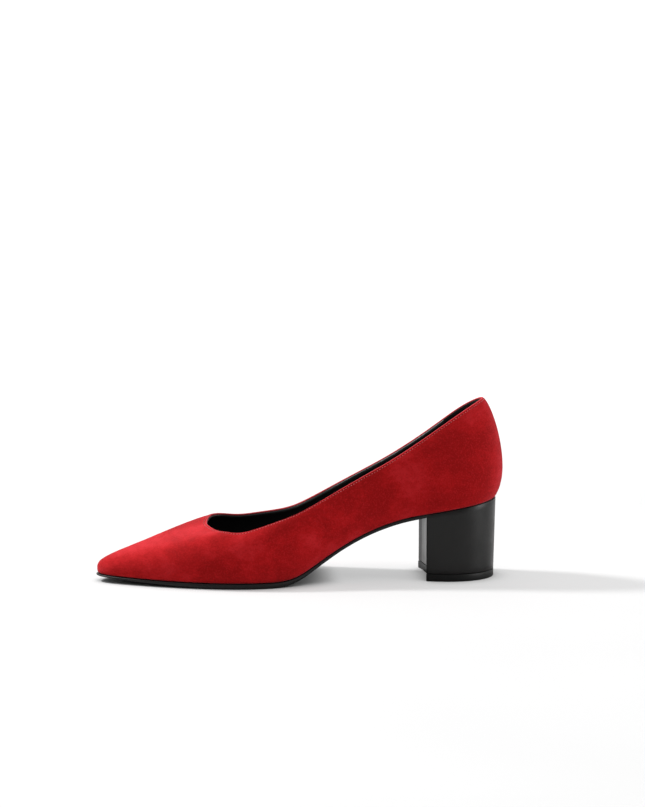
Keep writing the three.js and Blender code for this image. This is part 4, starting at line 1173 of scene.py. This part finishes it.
# Floor, light and camera.
studio = {"pitch": 6.25, "yaw": 3.4, "pivot": (224.0, 0.0), "stand": (138.5, -1200.0, 238.0), "lens": 87.43,
          "floorSeen": 0.35, "floorPaintedFill": 0.47, "floorBounce": 0.55, "skyFront": 0.19, "skyTop": 1.0,
          "aim": (0.0, 0.0, 0.04), "key": 38, "keyWay": (-0.62, 0.28, 0.73), "keyAway": 1.8, "keySize": 0.24,
          "side": 8, "sideWay": (0.93, -0.34, 0.1), "sideAway": 1.3, "sideSize": (0.5, 0.9)}


sweepSize = {"half": 4.0, "front": -2.2, "bend": 1.4, "rise": 1.2, "top": 3.2}  # metres


def makeFloor():
    half, bend, rise = sweepSize["half"], sweepSize["bend"], sweepSize["rise"]
    spots, faces = [], []
    profile = [(sweepSize["front"], 0.0), (bend, 0.0)]
    profile += [(bend + rise * math.sin(a), rise * (1 - math.cos(a)))
                for a in np.radians(np.linspace(6, 90, 15))]
    profile.append((bend + rise, sweepSize["top"]))
    for y, z in profile:
        spots += [(-half, y, z), (half, y, z)]
    for i in range(len(profile) - 1):
        faces.append((2 * i, 2 * i + 1, 2 * i + 3, 2 * i + 2))
    mesh = bpy.data.meshes.new("studioSweep")
    mesh.from_pydata(spots, [], faces)
    mesh.shade_smooth()
    sweep = bpy.data.objects.new("studioSweep", mesh)
    bpy.context.scene.collection.objects.link(sweep)
    material, tree, shader, where = newMaterial("paleSweep", {"Roughness": 0.9, "Specular IOR Level": 0.05,
                                                              "Emission Color": (1, 1, 1, 1)})
    # The eye sees it paler than the light it throws back on to the shoe.
    seen = tree.nodes.new("ShaderNodeLightPath").outputs["Is Camera Ray"]
    tone = remap(tree, noise(tree, where.outputs["Object"], 3.0, 2.0, 0.5), 0.3, 0.7, 0.0, 0.02)
    level = remap(tree, seen, 0, 1, studio["floorBounce"], studio["floorSeen"], False)
    tree.links.new(math2(tree, "SUBTRACT", level, tone), shader.inputs["Base Color"])
    split = tree.nodes.new("ShaderNodeSeparateXYZ")
    tree.links.new(where.outputs["Object"], split.inputs[0])
    behind = remap(tree, split.outputs[1], 0.25, 1.5, 0.0, 0.5)
    # Painted light: a glow seen only by the camera lifts its shadows pale. Painted shade: occlusion keeps the
    # glow off the dark line where something stands on it.
    close = tree.nodes.new("ShaderNodeAmbientOcclusion")
    close.samples = 6
    close.inputs["Distance"].default_value = 0.018
    glow = remap(tree, close.outputs["AO"], 0.15, 0.9, 0.0, studio["floorPaintedFill"])
    tree.links.new(math2(tree, "ADD", behind, math2(tree, "MULTIPLY", seen, glow)),
                   shader.inputs["Emission Strength"])
    mesh.materials.append(material)


def softLight(name, way, distance, size, power):  # a rectangle of light turned to the shoe
    data = bpy.data.lights.new(name, "AREA")
    data.shape, data.size, data.size_y, data.energy = "RECTANGLE", size[0], size[1], power
    light = bpy.data.objects.new(name, data)
    bpy.context.scene.collection.objects.link(light)
    aim = Vector(studio["aim"])
    spot = aim + Vector(way).normalized() * distance
    light.location = spot
    light.rotation_euler = (aim - spot).to_track_quat("-Z", "Y").to_euler()


print("studio")
makeFloor()
world = bpy.data.worlds.new("studioAir")
bpy.context.scene.world = world
world.use_nodes = True
sky = world.node_tree
way = sky.nodes.new("ShaderNodeSeparateXYZ")
sky.links.new(sky.nodes.new("ShaderNodeTexCoord").outputs["Generated"], way.inputs[0])
height = math2(sky, "ADD", way.outputs[1], math2(sky, "MULTIPLY", way.outputs[2], 0.9))
glow = remap(sky, height, -0.7, 0.75, studio["skyFront"], studio["skyTop"])
sky.links.new(glow, sky.nodes["Background"].inputs["Strength"])
sky.nodes["Background"].inputs["Color"].default_value = (1, 1, 1, 1)
softLight("keyLight", studio["keyWay"], studio["keyAway"], (studio["keySize"], studio["keySize"]), studio["key"])
softLight("sideLight", studio["sideWay"], studio["sideAway"], studio["sideSize"], studio["side"])
bpy.context.scene.view_settings.view_transform = "Standard"
bpy.context.scene.view_settings.look = "None"


def placeCamera():
    pitch, yaw = math.radians(studio["pitch"]), math.radians(-studio["yaw"])
    turn = np.array([[math.cos(yaw), -math.sin(yaw), 0], [math.sin(yaw), math.cos(yaw), 0], [0, 0, 1]])
    pivot = np.array([*studio["pivot"], 0.0])
    spot = toMetres(pivot + turn @ (np.array(studio["stand"]) - pivot))
    right = turn @ [1, 0, 0]
    up = turn @ [0, math.sin(pitch), math.cos(pitch)]
    back = turn @ [0, -math.cos(pitch), math.sin(pitch)]
    camera = bpy.data.objects.new("camera", bpy.data.cameras.new("camera"))
    bpy.context.scene.collection.objects.link(camera)
    axes = np.stack([right, up, back], -1).tolist()
    camera.matrix_world = Matrix([[*row, offset] for row, offset in zip(axes, spot)] + [[0, 0, 0, 1]])
    camera.data.lens, camera.data.sensor_width = studio["lens"], 36
    camera.data.clip_end = 20
    bpy.context.scene.camera = camera


placeCamera()
